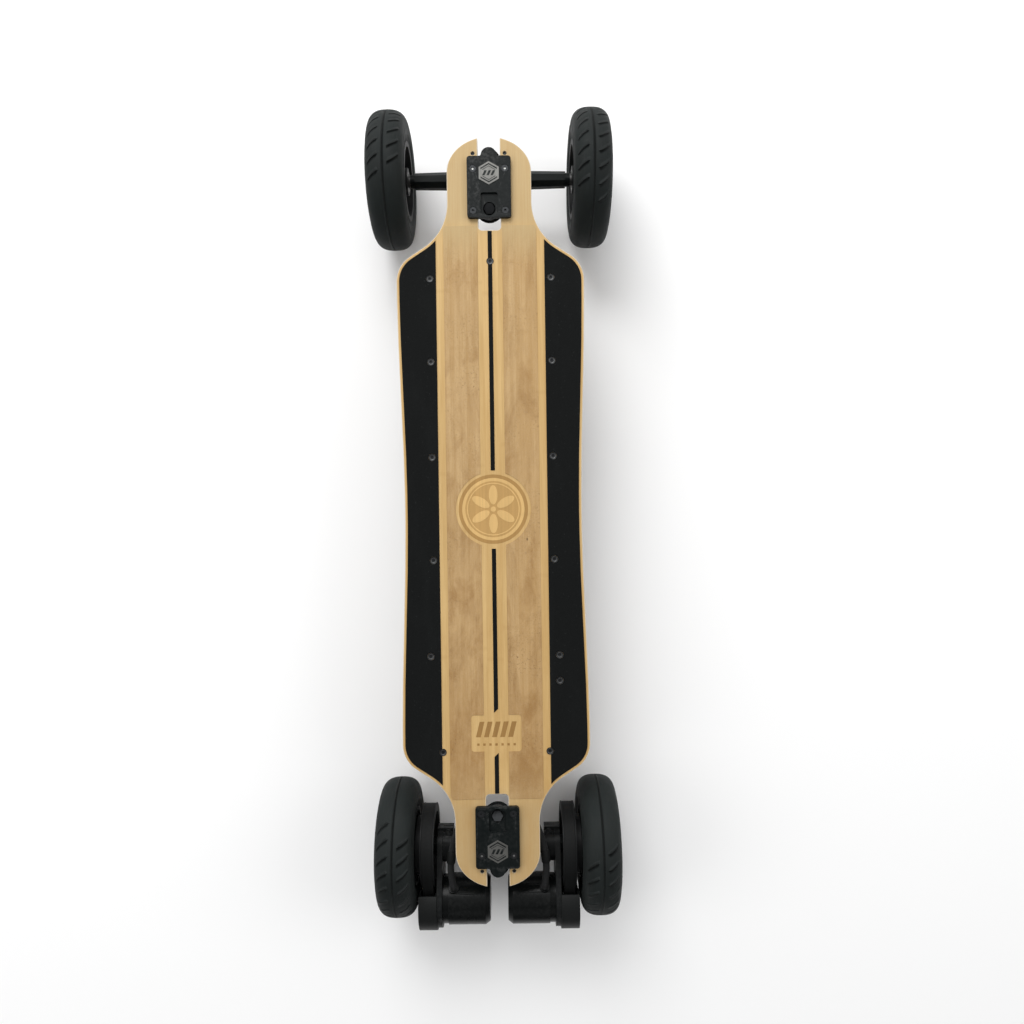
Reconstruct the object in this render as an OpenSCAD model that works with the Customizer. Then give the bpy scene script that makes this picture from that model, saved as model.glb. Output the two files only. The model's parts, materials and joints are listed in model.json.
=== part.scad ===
// Electric longboard skateboard with air tyres, double-kingpin trucks and a belt-driven rear axle.
// X runs across the board, +Y towards its nose, +Z up. The origin lies on the ground, under the
// middle of the board's overall length. Truck parts are drawn for the nose, and are turned half
// round for the tail: there, y is the distance outboard from the middle of the deck.

/* [Deck] */
// Length of the deck from tip to tip
deck_length = 966; // [900:1:1040]
// Width of the deck at its shoulders
deck_width = 242; // [225:1:260]
// Width of the deck at its waist
waist_width = 228; // [215:1:235]
// Width of the nose and tail between the wheels
nose_width = 109; // [104:1:116]
// Thickness of the bamboo and glass-fibre board
deck_thickness = 12; // [10:0.5:14]
// Height of the deck's upper face over the wheel axles
deck_rise = 70; // [65:1:90]
// Radius of the outer curve of each shoulder
shoulder_radius = 38; // [30:1:44]
// Slope of the flank between shoulder and nose, from square across the board
flank_angle = 33; // [28:1:38]
// Length of the rounded end of the nose
nose_round = 45; // [38:1:52]
// Width of the slot in the nose and tail that the trucks drop through
slot_width = 29; // [28.6:0.1:31]

/* [Grip] */
// Thickness of the black side grip
grip_thickness = 0.8; // [0.5:0.1:1.2]
// Border of bare wood outside the side grip
grip_border = 3.5; // [2:0.5:6]
// Width of the bare and clear-coated middle between the side grips
middle_width = 140; // [132:1:146]
// Thickness of the clear grit panels
clear_thickness = 0.5; // [0.3:0.1:0.8]
// Width of each clear grit panel
clear_width = 44; // [38:1:46]
// Width of the black strip down the middle
strip_width = 5.4; // [4:0.1:7]
// Radius of the round bare field in the middle of the deck
emblem_radius = 47.6; // [40:0.2:52]
// Distance of that field's centre ahead of the deck's middle
emblem_y = 4; // [-20:1:20]

/* [Battery case] */
// Width of the case's flange
case_width = 186; // [180:1:192]
// Depth of the case below the deck, gasket included
case_depth = 40; // [38:0.5:46]
// Wall of the case
case_wall = 3; // [2:0.5:4]
// Thickness of the case's gasket
gasket_thickness = 2; // [1:0.5:3]
// Diameter of one battery cell
cell_diameter = 18.4; // [18:0.1:18.6]
// Length of one battery cell
cell_length = 65; // [64:0.5:66]
// Diameter of the bolts that hold the case
case_bolt = 5; // [4:0.5:5.5]
// Diameter of the power button
button_diameter = 14; // [12:0.5:16]
// Travel of the power button
button_travel = 1.5; // [1:0.1:2]
// Diameter of the charge socket
socket_diameter = 16; // [14:0.5:17]

/* [Trucks] */
// Width of the truck's top plate
plate_width = 56.6; // [54:0.1:60]
// Length of the truck's top plate
plate_length = 79.2; // [78:0.1:84]
// Thickness of the truck's top plate
plate_thickness = 6; // [5.5:0.1:7]
// Spacing of the truck bolts across the board
bolt_span = 41.3; // [40:0.1:42]
// Spacing of the truck bolts along the board
bolt_reach = 53.8; // [52:0.1:54]
// Diameter of the truck bolts
truck_bolt = 5; // [4.5:0.1:5.2]
// Slope of both steering axes
roll_slope = 23.25; // [22:0.05:25]
// Diameter of the kingpins
kingpin = 10; // [9:0.5:10]
// Diameter of the bushings
bushing = 24; // [22:0.5:25]
// Height of the bushings nearest the deck
bushing_height = 12; // [11:0.5:12]
// Diameter of the wheel axles
axle = 10; // [8:0.5:10]
// Height of the axles over the ground, the tyres' radius
axle_height = 90; // [88:0.5:94]
// Distance between the middles of two opposite wheels
track = 270; // [266:1:280]
// Diameter of the hanger at its middle
hanger_diameter = 26; // [25:0.5:27]
// Diameter of the hanger at its ends
hanger_end = 21; // [20:0.5:22]

/* [Wheels] */
// Width of the tyres
tyre_width = 50; // [48:0.5:52]
// Thickness of the tyre's wall
tyre_wall = 4; // [3:0.5:5]
// Outer diameter of the wheel bearings
bearing_outer = 26; // [24:0.5:28]
// Width of the wheel bearings
bearing_width = 8; // [7:0.5:8]
// Number of spokes in a rim
spokes = 5; // [5:1:6]

/* [Drive] */
// Teeth on the wheel's drive gear
gear_teeth = 66; // [62:1:66]
// Teeth on the motor's pulley
pulley_teeth = 15; // [14:1:16]
// Pitch of the belt's teeth
belt_pitch = 5; // [5:1:5]
// Width of the belt
belt_width = 15; // [14:0.5:15]
// Distance of the motor behind the axle
motor_back = 70; // [69:0.5:76]
// Height of the motor over the axle
motor_rise = 8; // [0:0.5:12]
// Diameter of the motor's can
can_diameter = 65; // [62:0.5:66]
// Gap between the two motor cans
can_gap = 24; // [16:1:30]
// Thickness of the motor mount's plate
mount_thickness = 7; // [6:0.5:8]
// Outer radius of the cover round the pulley
cover_radius = 39; // [37:0.5:40]
// How far ahead of the motor's axis that cover starts
cover_front = 18; // [14:1:30]
// Diameter of a motor lead
lead_diameter = 9; // [8:0.5:9]

/* [Hidden] */
$fn = 48;

nose = 1;
tail = -1;
right = 1;
left = -1;
seat_gap = 0.3;      // air between pieces that lie against each other but move apart
running_gap = 0.04;  // radial air in a running or pressed fit
through = 1;         // how far a cutting shape runs past the face that it cuts

// Deck outline
tip_y = deck_length / 2;
shoulder_y = tip_y - 184;
neck_y = tip_y - 83;
slot_end_y = tip_y - 119;
slot_corner = 5;
nose_y = tip_y - nose_round * sqrt(1 - pow(slot_width / nose_width, 2));
deck_top = axle_height + deck_rise;
deck_bottom = deck_top - deck_thickness;
shoulder_turn = 90 - flank_angle;
flank_start = [deck_width / 2 - shoulder_radius * (1 - cos(shoulder_turn)),
    shoulder_y + shoulder_radius * sin(shoulder_turn)];
neck_radius = ((flank_start[0] - nose_width / 2) * cos(shoulder_turn)
    + (flank_start[1] - neck_y) * sin(shoulder_turn)) / (cos(shoulder_turn) - 1);

// Grip
clear_end_y = slot_end_y + 6;
clear_outer_x = middle_width / 2 - 10;
clear_inner_x = clear_outer_x - clear_width;
patch_size = [65, 47];
patch_y = -tip_y + 198;
strip_slant = 5;
emblem_gap = 2.4;    // bare wood between the round field and a black strip
strips = [[slot_end_y - 1, emblem_y + emblem_radius + emblem_gap, 0, 0],
    [emblem_y - emblem_radius - emblem_gap - 1, patch_y + patch_size[1] / 2 + 3, 0, -strip_slant],
    [patch_y - patch_size[1] / 2 - 7, -slot_end_y + 1, -strip_slant, 0]];

// Battery case
case_front = slot_end_y - 26;
case_rear = -slot_end_y + 40;
case_length = case_front - case_rear;
case_middle = (case_front + case_rear) / 2;
case_corner = 34;
case_top = deck_bottom - gasket_thickness;
case_floor = deck_bottom - case_depth;
flange_thickness = 3;
tub_inset = 9;
tub_taper = 8;
bolt_rows = [0.054, 0.216, 0.402, 0.603, 0.79, 0.977];   // shares of the case's length from its front
bolt_edge = 15;
rear_bolt_narrow = 9;
single_bolt_row = 0.84;
case_bolts_xy = concat(
    [for (row = [0:4], side = [left, right])
        [side * (case_width / 2 - bolt_edge + (row == 4 ? 5 : 0)), case_front - bolt_rows[row] * case_length]],
    [for (side = [left, right])
        [side * (case_width / 2 - bolt_edge - rear_bolt_narrow), case_front - bolt_rows[5] * case_length]],
    [[case_width / 2 - bolt_edge + 5, case_front - single_bolt_row * case_length], [0, case_front - 14]]);
head_radius = case_bolt * 0.84;
head_height = 2.2;
nut_height = 3;

// Battery
cell_rows = 20;
cell_step = cell_diameter + 0.8;
cell_z = case_floor + case_wall + seat_gap + 2 + cell_diameter / 2;
battery_front = case_front - 34;
rail_x = [20, 48];
rail_thickness = 4;
rail_height = cell_diameter + 4;
cell_gap = 3;

// Case sockets
side_wall_x = case_width / 2 - tub_inset;
fitting_z = (case_top + case_floor) / 2 + 1;
button_y = case_rear + case_length * 0.33;
socket_y = button_y - 40;
bezel = 3;
gland_x = 34;
gland_length = 10;

// Truck, seen from the side: [y, z]
plate_y = tip_y - 65;
plate_top = deck_top + plate_thickness;
axle_y = plate_y + 38;
ring_thickness = 9;
pivot_radius = 6.5;
cup_wall = 2.6;
inner_pivot = [plate_y + 40, deck_top - 13];
inner_seat = inner_pivot - 55.7 * [cos(roll_slope), sin(roll_slope)];
inner_head = 33;                               // from the inner seat to the kingpin's head
inner_boss = ring_thickness / 2 + bushing_height;
head_y = inner_seat[0] - (inner_head + 3) * sin(roll_slope);
outer_seat = [axle_y + 23, axle_height + 13];
outer_pivot = [axle_y - 26, outer_seat[1] - 49 * tan(roll_slope)];
outer_bushing = 10;
lower_bushing = 10;
washer_thickness = 1.5;
hex_head = 4.5;
kingpin_nut = 8;
kingpin_hex = kingpin * 0.98;
seat_bore = kingpin / 2 + 1.5;
seat_radius = 15;
boss_radius = slot_width / 2 - 1;
bolt_pattern_y = plate_y - 3.5;
spare_hole_y = bolt_pattern_y + bolt_reach / 2 + 22;
bolt_head = truck_bolt * 0.9;
bolt_head_depth = 3.4;
badge_width = 26;
badge_y = plate_y + 17.3;
badge_thickness = 0.6;

// Wheel, measured along the axle from the wheel's own middle
tyre_radius = axle_height;
section_half = 22;                             // half the height of the tyre's section
section_power = 2.6;                           // how square the section is, 2 is an ellipse
section_y = tyre_radius - section_half;
bead_radius = section_y - 19;
rim_half_width = 23.5;
rim_barrel = 4;
flange_radius = bead_radius + 2.5;
flange_x = tyre_width / 2 * pow(1 - pow((section_y - flange_radius) / section_half, section_power),
    1 / section_power) + 0.1;
hub_radius = bearing_outer / 2 + 5;
spoke_width = 12;
wheel_x = track / 2;
hub_inner = rim_half_width - 0.5;      // inboard face of the hub
axle_nut = 8;
hub_outer = rim_half_width - axle_nut - 1; // outboard face of the hub
hanger_half = wheel_x - rim_half_width - 2.5;
axle_washer = wheel_x - hub_inner - hanger_half - seat_gap;
rim_bolt_circle = 31;

// Belt drive, measured across the board
gear_pitch_radius = gear_teeth * belt_pitch / (2 * PI);
pulley_pitch_radius = pulley_teeth * belt_pitch / (2 * PI);
tip_drop = 0.57;
tooth_depth = 2;
belt_gap = 0.3;
belt_thickness = 2.2;
mount_inner_x = 76;
mount_outer_x = mount_inner_x + mount_thickness;
belt_x = mount_outer_x + 4;
belt_outer_x = belt_x + belt_width;
gear_flange = 1.5;
gear_reach = norm([motor_back, motor_rise]);
motor_angle = atan2(motor_rise, motor_back);
can_radius = can_diameter / 2;
can_wall = 1.5;
can_inner_x = can_gap / 2;
clamp_radius = 22;
clamp_seat = hanger_diameter / 2 - 0.5;
clamp_width = 21;
mount_motor_radius = 36;
mount_axle_radius = 24;
shaft_radius = 4;
cover_outer_x = wheel_x - tyre_width / 2 - 3;
cover_wall = 2.5;
cover_cut = gear_pitch_radius + 5;

// The board reaches further behind its rear axle than before its front one
front_reach = axle_y + tyre_radius;
rear_reach = axle_y + motor_back + cover_radius;
balance_y = (rear_reach - front_reach) / 2;

// Route of the right-hand motor lead from the case to the motor, [x, y behind the deck's middle, z]
lead_start = [gland_x, -case_rear + gland_length + seat_gap, fitting_z];
boss_x = 61;
boss_rise = 3;
lead_end = [boss_x, axle_y + motor_back, axle_height + motor_rise]
    + (can_radius + boss_rise + seat_gap) * [0, -sin(45), cos(45)];
lead_height = axle_height + 46;    // height at which the lead passes over the axle
lead_route = concat([lead_start, lead_start + [0, 8, 0]],
    [[36, axle_y - 98, fitting_z + 3], [40, axle_y - 76, fitting_z + 5], [46, axle_y - 56, lead_height - 1],
     [53, axle_y - 38, lead_height], [59, axle_y - 20, lead_height], [62, axle_y - 2, lead_height],
     [63, axle_y + 14, lead_height], [62, axle_y + 27, lead_height - 2]],
    [lead_end + [0, -7, 7], lead_end + [0, -3, 3], lead_end]);
lead_sides = 10;

// ---------- helpers ----------

module board() translate([0, balance_y, 0]) children();

module truck(end) board() rotate([0, 0, end == nose ? 0 : 180]) children();

// Side of the board that a truck part drawn at x > 0 ends up on
module at_side(end, side) truck(end) mirror([end * side == right ? 0 : 1, 0, 0]) children();

module along_roll(p) translate([0, p[0], p[1]]) rotate([roll_slope - 90, 0, 0]) children();

module along_pin(p, lean) translate([0, p[0], p[1]]) rotate([lean, 0, 0]) children();

// Turns a shape drawn round Z, standing on z = 0, to lie along +X from x
module across(x, y, z) translate([x, y, z]) rotate([90, 0, 90]) children();

module tube(outer, inner, h) difference() {
    cylinder(r = outer, h = h);
    translate([0, 0, -through]) cylinder(r = inner, h = h + 2 * through);
}

module rounded_rect(size, r) {
    square([size[0] - 2 * r, size[1]], center = true);
    square([size[0], size[1] - 2 * r], center = true);
    for (x = [-1, 1], y = [-1, 1])
        translate([x * (size[0] / 2 - r), y * (size[1] / 2 - r)]) circle(r = r);
}

module hexagon(radius, h) cylinder(r = radius, h = h, $fn = 6);

function arc(centre, radius, from, to, steps) =
    [for (i = [0:steps]) let (a = from + (to - from) * i / steps)
        [centre[0] + radius * cos(a), centre[1] + radius * sin(a)]];

// Belt round two wheels, the second one at distance reach along +X
function belt_outline(r1, r2, reach) =
    let (lap = acos((r1 - r2) / reach))
    concat(arc([0, 0], r1, lap, 360 - lap, 60), arc([reach, 0], r2, -lap, lap, 20));

function toothed(teeth, tip, root) =
    [for (i = [0:teeth - 1], corner = [[-0.28, tip], [0.28, tip], [0.36, root], [0.64, root]])
        let (a = 360 * (i + corner[0]) / teeth) corner[1] * [cos(a), sin(a)]];

// ---------- deck and grip ----------

// A quarter of the deck's outline, from its waist to the tip of its nose, drawn in by inset
function deck_quarter(inset) = concat(
    [for (i = [0:12]) let (s = pow(sin(90 * i / 12), 2))
        [waist_width / 2 + (deck_width - waist_width) / 2 * s - inset, shoulder_y * i / 12]],
    arc([deck_width / 2 - shoulder_radius, shoulder_y], shoulder_radius - inset, 6, shoulder_turn, 9),
    arc([nose_width / 2 + neck_radius, neck_y], neck_radius + inset, 180 + shoulder_turn, 180, 12),
    [for (t = [0:6:90]) [(nose_width / 2 - inset) * cos(t), nose_y + (nose_round - inset) * sin(t)]]);

function deck_outline(inset) =
    let (q = deck_quarter(inset), n = len(q))
    concat(q, [for (i = [n - 2:-1:0]) [-q[i][0], q[i][1]]],
        [for (i = [1:n - 1]) [-q[i][0], -q[i][1]]], [for (i = [n - 2:-1:1]) [q[i][0], -q[i][1]]]);

module slot_shape() {
    deep = tip_y - slot_end_y + 2 * slot_corner;
    translate([0, slot_end_y + deep / 2]) rounded_rect([slot_width, deep], slot_corner);
}

module deck() color("burlywood") board() difference() {
    translate([0, 0, deck_bottom]) linear_extrude(deck_thickness) polygon(deck_outline(0));
    for (end = [nose, tail]) rotate([0, 0, end == nose ? 0 : 180]) {
        translate([0, 0, deck_bottom - through])
            linear_extrude(deck_thickness + 2 * through) slot_shape();
        for (x = [-bolt_span / 2, bolt_span / 2], y = [bolt_pattern_y - bolt_reach / 2,
                bolt_pattern_y + bolt_reach / 2, spare_hole_y])
            translate([x, y, deck_bottom - through])
                cylinder(r = truck_bolt / 2 + 0.2, h = deck_thickness + 2 * through);
    }
    for (p = case_bolts_xy) {
        translate([p[0], p[1], deck_bottom - through])
            cylinder(r = case_bolt / 2 + 0.2, h = deck_thickness + 2 * through);
        translate([p[0], p[1], deck_top - head_height])
            cylinder(r = head_radius + seat_gap, h = head_height + through);
    }
}

module side_grip(side) color("#202422") board() difference() {
    intersection() {
        translate([0, 0, deck_top]) linear_extrude(grip_thickness) polygon(deck_outline(grip_border));
        translate([side == right ? middle_width / 2 : -deck_width, -deck_length, deck_top - through])
            cube([deck_width - (side == right ? middle_width / 2 : middle_width / 2), 2 * deck_length,
                grip_thickness + 2 * through]);
    }
    for (p = case_bolts_xy) if (abs(p[0]) > middle_width / 2 - 6)
        translate([p[0], p[1], deck_top - through])
            cylinder(r = head_radius + 2 * seat_gap, h = grip_thickness + 2 * through);
}

module clear_grip_panels() color("tan") board() for (side = [left, right]) difference() {
    translate([side * (clear_outer_x + clear_inner_x) / 2 - clear_width / 2, -clear_end_y, deck_top])
        cube([clear_width, 2 * clear_end_y, clear_thickness]);
    translate([0, emblem_y, deck_top - through])
        cylinder(r = emblem_radius + 1, h = clear_thickness + 2 * through, $fn = 96);
    translate([0, patch_y, deck_top - through])
        linear_extrude(clear_thickness + 2 * through) rounded_rect(patch_size, 4);
    for (end = [nose, tail]) rotate([0, 0, end == nose ? 0 : 180]) {
        difference() {
            translate([-nose_width, neck_y - 60, deck_top - through])
                cube([2 * nose_width, 60, clear_thickness + 2 * through]);
            translate([0, 0, deck_top - 2 * through])
                linear_extrude(clear_thickness + 4 * through) polygon(deck_outline(grip_border));
        }
    }
}

module centre_strips() color("#202422") board() for (s = strips) difference() {
    translate([0, 0, deck_top]) linear_extrude(clear_thickness)
        polygon([[-strip_width / 2, s[0]], [strip_width / 2, s[0] - s[2]],
            [strip_width / 2, s[1] - s[3]], [-strip_width / 2, s[1]]]);
    translate([0, case_front - 14, deck_top - through])
        cylinder(r = head_radius + seat_gap, h = clear_thickness + 2 * through);
}

// ---------- battery case ----------

module case_outline(inset) {
    w = case_width / 2 - inset;
    c = case_corner - inset * 0.4;
    polygon([[-w, case_rear + c + inset], [-w + c * 0.7, case_rear + inset], [w - c * 0.7, case_rear + inset],
        [w, case_rear + c + inset], [w, case_front - c - inset], [w - c, case_front - inset],
        [-w + c, case_front - inset], [-w, case_front - c - inset]]);
}

module case_shell() color("#2a2c2e") board() difference() {
    union() {
        translate([0, 0, case_top - flange_thickness]) linear_extrude(flange_thickness) case_outline(0);
        translate([0, 0, case_floor + tub_taper])
            linear_extrude(case_top - case_floor - tub_taper) case_outline(tub_inset);
        hull() {
            translate([0, 0, case_floor + tub_taper]) linear_extrude(0.1) case_outline(tub_inset);
            translate([0, 0, case_floor]) linear_extrude(0.1) case_outline(tub_inset + tub_taper);
        }
    }
    hull() {
        translate([0, 0, case_floor + tub_taper]) linear_extrude(0.1) case_outline(tub_inset + case_wall);
        translate([0, 0, case_floor + case_wall])
            linear_extrude(0.1) case_outline(tub_inset + tub_taper + case_wall - 1);
    }
    translate([0, 0, case_floor + tub_taper])
        linear_extrude(case_depth) case_outline(tub_inset + case_wall);
    for (p = case_bolts_xy)
        translate([p[0], p[1], case_floor - through]) {
            cylinder(r = case_bolt / 2 + 0.2, h = case_depth);
            cylinder(r = 7, h = case_depth - gasket_thickness - flange_thickness + through);
        }
    for (y = [button_y, socket_y])
        across(side_wall_x - case_wall - through, y, fitting_z)
            cylinder(r = (y == button_y ? button_diameter : socket_diameter) / 2 + seat_gap,
                h = case_wall + 2 * through);
    for (x = [-gland_x, gland_x])
        translate([x, case_rear, fitting_z]) rotate([90, 0, 0])
            cylinder(r = lead_diameter / 2 + 2, h = 60, center = true);
}

module case_gasket() color("#161616") board() difference() {
    translate([0, 0, case_top]) linear_extrude(gasket_thickness) case_outline(0.5);
    translate([0, 0, case_top - through])
        linear_extrude(gasket_thickness + 2 * through) case_outline(tub_inset + case_wall);
    for (p = case_bolts_xy)
        translate([p[0], p[1], case_top - through])
            cylinder(r = case_bolt / 2 + 0.2, h = gasket_thickness + 2 * through);
}

module case_bolts() color("#303234") board() for (p = case_bolts_xy) translate([p[0], p[1], 0]) {
    low = case_top - flange_thickness - nut_height - 1;
    difference() {
        union() {
            translate([0, 0, deck_top - head_height]) cylinder(r = head_radius, h = head_height);
            translate([0, 0, low]) cylinder(r = case_bolt / 2, h = deck_top - head_height - low);
        }
        translate([0, 0, deck_top - 1.4]) hexagon(case_bolt * 0.32, 2);
    }
    translate([0, 0, case_top - flange_thickness - nut_height])
        difference() {
            hexagon(case_bolt * 0.92, nut_height);
            translate([0, 0, -through])
                cylinder(r = case_bolt / 2 + running_gap, h = nut_height + 2 * through);
        }
}

module cell_place(row, side, gap = 0)
    across(side == right ? cell_gap / 2 - gap : -cell_gap / 2 - cell_length - gap,
        battery_front - (row + 0.5) * cell_step, cell_z) children();

module battery_cells() color("#3f7fb5") board()
    for (row = [0:cell_rows - 1], side = [left, right])
        cell_place(row, side) cylinder(r = cell_diameter / 2, h = cell_length);

module cell_holders() color("#d8d4c8") board() for (side = [left, right], x = rail_x) difference() {
    translate([side * x - rail_thickness / 2, battery_front - cell_rows * cell_step - 3,
            cell_z - rail_height / 2])
        cube([rail_thickness, cell_rows * cell_step + 6, rail_height]);
    for (row = [0:cell_rows - 1])
        cell_place(row, side, 2) cylinder(r = cell_diameter / 2 + running_gap, h = cell_length + 4);
}

module battery_board() color("darkgreen") board()
    translate([0, battery_front - cell_rows * cell_step + 36, cell_z + rail_height / 2]) {
        translate([-55, -30, 0]) cube([110, 60, 1.6]);
        for (x = [-40:16:40]) translate([x - 5, -18, 1.6]) cube([10, 14, 2.2]);
        for (x = [-30, 30]) translate([x - 8, 8, 1.6]) cube([16, 12, 4]);
    }

module speed_controller() board() translate([0, case_rear + 102, case_floor + case_wall]) {
    color("silver") {
        translate([-60, -70, 0]) cube([120, 140, 4]);
        for (x = [-52, 52], y = [-62, 62]) translate([x, y, 4]) cylinder(r = 4, h = 4);
    }
    color("darkgreen") translate([-57, -67, 8]) cube([114, 134, 1.6]);
    color("#222222") for (x = [-36:18:36], y = [-36, 36]) translate([x - 6, y - 8, 9.6]) cube([12, 16, 4]);
    color("#1c2a50") for (x = [-42:21:42]) translate([x, -14, 9.6 + 6.5]) rotate([-90, 0, 0])
        cylinder(r = 6.5, h = 28);
}

module power_button() color("#c8ccd0") board()
    across(side_wall_x - case_wall - 1.5, button_y, fitting_z) {
        cylinder(r = button_diameter / 2, h = case_wall + 1.5 + button_travel + 0.5);
        translate([0, 0, -1]) cylinder(r = button_diameter / 2 + 1, h = 1.2);
    }

module charge_socket() color("#1b1b1d") board() {
    across(side_wall_x - case_wall - 12, socket_y, fitting_z) difference() {
        union() {
            cylinder(r = socket_diameter / 2, h = case_wall + 12);
            translate([0, 0, case_wall + 12]) cylinder(r = socket_diameter / 2 + bezel, h = 1.5);
        }
        translate([0, 0, 4]) cylinder(r = socket_diameter / 2 - 3, h = 20);
    }
    across(side_wall_x - case_wall - 8, socket_y, fitting_z) cylinder(r = 1.2, h = 8);
    across(side_wall_x, button_y, fitting_z)
        tube(button_diameter / 2 + bezel, button_diameter / 2 + seat_gap, 1.5);
}

cap_hinge_z = fitting_z + socket_diameter / 2 + bezel + 1.5;
cap_x = side_wall_x + 1.5 + seat_gap;

module charge_cap() color("#101010") board() {
    across(cap_x, socket_y, fitting_z) cylinder(r = socket_diameter / 2 + bezel, h = 2);
    translate([cap_x, socket_y - 5, fitting_z + socket_diameter / 2])
        cube([2, 10, cap_hinge_z - fitting_z - socket_diameter / 2]);
    translate([cap_x + 1, socket_y + 5, cap_hinge_z]) rotate([90, 0, 0]) cylinder(r = 1.4, h = 10);
}

module cable_glands() color("#1b1b1d") board() for (x = [-gland_x, gland_x])
    translate([x, case_rear, fitting_z]) rotate([90, 0, 0]) difference() {
        union() {
            translate([0, 0, -tub_inset - 6]) cylinder(r = lead_diameter / 2 + 1.9, h = tub_inset + 6);
            cylinder(r1 = lead_diameter / 2 + 3.5, r2 = lead_diameter / 2 + 1.6, h = gland_length);
        }
        translate([0, 0, -tub_inset - 7]) cylinder(r = lead_diameter / 2 - 1, h = tub_inset + 60);
    }

// ---------- trucks: parts fixed to the deck ----------

module plate_shape() {
    translate([0, plate_y]) rounded_rect([plate_width, plate_length], 4);
    translate([0, plate_y + plate_length / 2 + 1]) circle(r = 10);
    translate([-10, plate_y + plate_length / 2 - 2]) square([20, 3]);
}

module baseplate(end) color("#2b2f31") truck(end) difference() {
    union() {
        translate([0, 0, deck_top]) linear_extrude(plate_thickness) plate_shape();
        along_pin(inner_seat, roll_slope) translate([0, 0, inner_boss])
            cylinder(r = boss_radius, h = inner_head - inner_boss + 2);
        translate([0, head_y + 1, deck_bottom + 2]) cylinder(r = boss_radius, h = deck_thickness - 1);
        difference() {
            along_pin(inner_seat, roll_slope) translate([0, 0, inner_boss]) cylinder(r = 19, h = 5);
            translate([-30, head_y - 40, deck_bottom - seat_gap]) cube([60, 80, 40]);
        }
        translate([0, inner_pivot[0] - 2, inner_pivot[1] - pivot_radius - cup_wall - 2])
            cylinder(r = 11.5, h = deck_top - inner_pivot[1] + pivot_radius + cup_wall + 3);
        translate([-8, head_y, deck_top - 5]) cube([16, inner_pivot[0] - head_y, 6]);
    }
    along_pin(inner_seat, roll_slope) {
        cylinder(r = kingpin / 2 + 0.1, h = 60);
        translate([0, 0, inner_head]) cylinder(r = 8, h = 30);
    }
    translate([0, plate_y - 21, plate_top - 3])
        linear_extrude(plate_thickness) rounded_rect([22, 27], 2.5);
    along_roll(inner_pivot)
        translate([0, 0, -40]) cylinder(r = pivot_radius + cup_wall + running_gap, h = 40 + 8);
    for (x = [-bolt_span / 2, bolt_span / 2], y = [-bolt_reach / 2, bolt_reach / 2])
        translate([x, bolt_pattern_y + y, 0]) {
            cylinder(r = truck_bolt / 2 + 0.2, h = 2 * deck_top);
            translate([0, 0, plate_top - bolt_head_depth]) cylinder(r = bolt_head + 0.3, h = 10);
        }
}

module baseplate_badges() color("silver") for (end = [nose, tail]) truck(end)
    translate([0, badge_y, plate_top]) rotate([0, 0, 30]) hexagon(badge_width / 2 / cos(30), badge_thickness);

module truck_bolts() color("#8a8d90") for (end = [nose, tail]) truck(end)
    for (x = [-bolt_span / 2, bolt_span / 2], y = [-bolt_reach / 2, bolt_reach / 2])
        translate([x, bolt_pattern_y + y, 0]) {
            difference() {
                union() {
                    translate([0, 0, plate_top - bolt_head_depth]) cylinder(r = bolt_head, h = 3);
                    translate([0, 0, deck_bottom - 6])
                        cylinder(r = truck_bolt / 2, h = plate_top - bolt_head_depth - deck_bottom + 6);
                }
                translate([0, 0, plate_top - 2.2]) hexagon(truck_bolt * 0.32, 3);
            }
            translate([0, 0, deck_bottom - 5]) difference() {
                hexagon(truck_bolt * 0.92, 5);
                translate([0, 0, -through]) cylinder(r = truck_bolt / 2 + running_gap, h = 7);
            }
        }

// Bolt, washer and nut of a kingpin. Its own zero is the middle of the seat that it clamps.
module kingpin_set(head_height) {
    low = -ring_thickness / 2 - lower_bushing;
    translate([0, 0, head_height]) hexagon(7.5, hex_head);
    translate([0, 0, low - washer_thickness - kingpin_nut - 3])
        cylinder(r = kingpin / 2, h = head_height - low + washer_thickness + kingpin_nut + 3);
    translate([0, 0, low - washer_thickness]) tube(bushing / 2 + 0.5, kingpin / 2 + running_gap, washer_thickness);
    translate([0, 0, low - washer_thickness - kingpin_nut]) difference() {
        hexagon(kingpin_hex, kingpin_nut);
        translate([0, 0, -through]) cylinder(r = kingpin / 2 + running_gap, h = kingpin_nut + 2 * through);
    }
}

// Upper and lower bushing of a kingpin, and the cup of the same stage's pivot
module bushing_set(upper) {
    translate([0, 0, ring_thickness / 2]) tube(bushing / 2, kingpin / 2 + running_gap, upper);
    translate([0, 0, -ring_thickness / 2 - lower_bushing]) difference() {
        cylinder(r1 = bushing / 2 - 2.5, r2 = bushing / 2, h = lower_bushing);
        translate([0, 0, -through]) cylinder(r = kingpin / 2 + running_gap, h = lower_bushing + 2 * through);
    }
}

// Cup lined round a pivot nose that comes from below along the steering axis
module pivot_cup() difference() {
    translate([0, 0, -9]) cylinder(r = pivot_radius + cup_wall, h = 9 + 8);
    translate([0, 0, -9 - through]) cylinder(r = pivot_radius + seat_gap, h = 9 + through);
    sphere(r = pivot_radius + seat_gap);
}

module pivot_nose(length) {
    translate([0, 0, -length]) cylinder(r = pivot_radius, h = length);
    sphere(r = pivot_radius);
}

module inner_kingpin(end) color("#9a9da0") truck(end) along_pin(inner_seat, roll_slope)
    kingpin_set(inner_head);

module inner_bushings(end) color("#b0342c") truck(end) {
    along_pin(inner_seat, roll_slope) bushing_set(bushing_height);
    along_roll(inner_pivot) pivot_cup();
}

// ---------- trucks: yoke between the two steering axes ----------

leg_y = outer_pivot[0];
outer_boss = ring_thickness / 2 + outer_bushing;
boss_height = 8;

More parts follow.
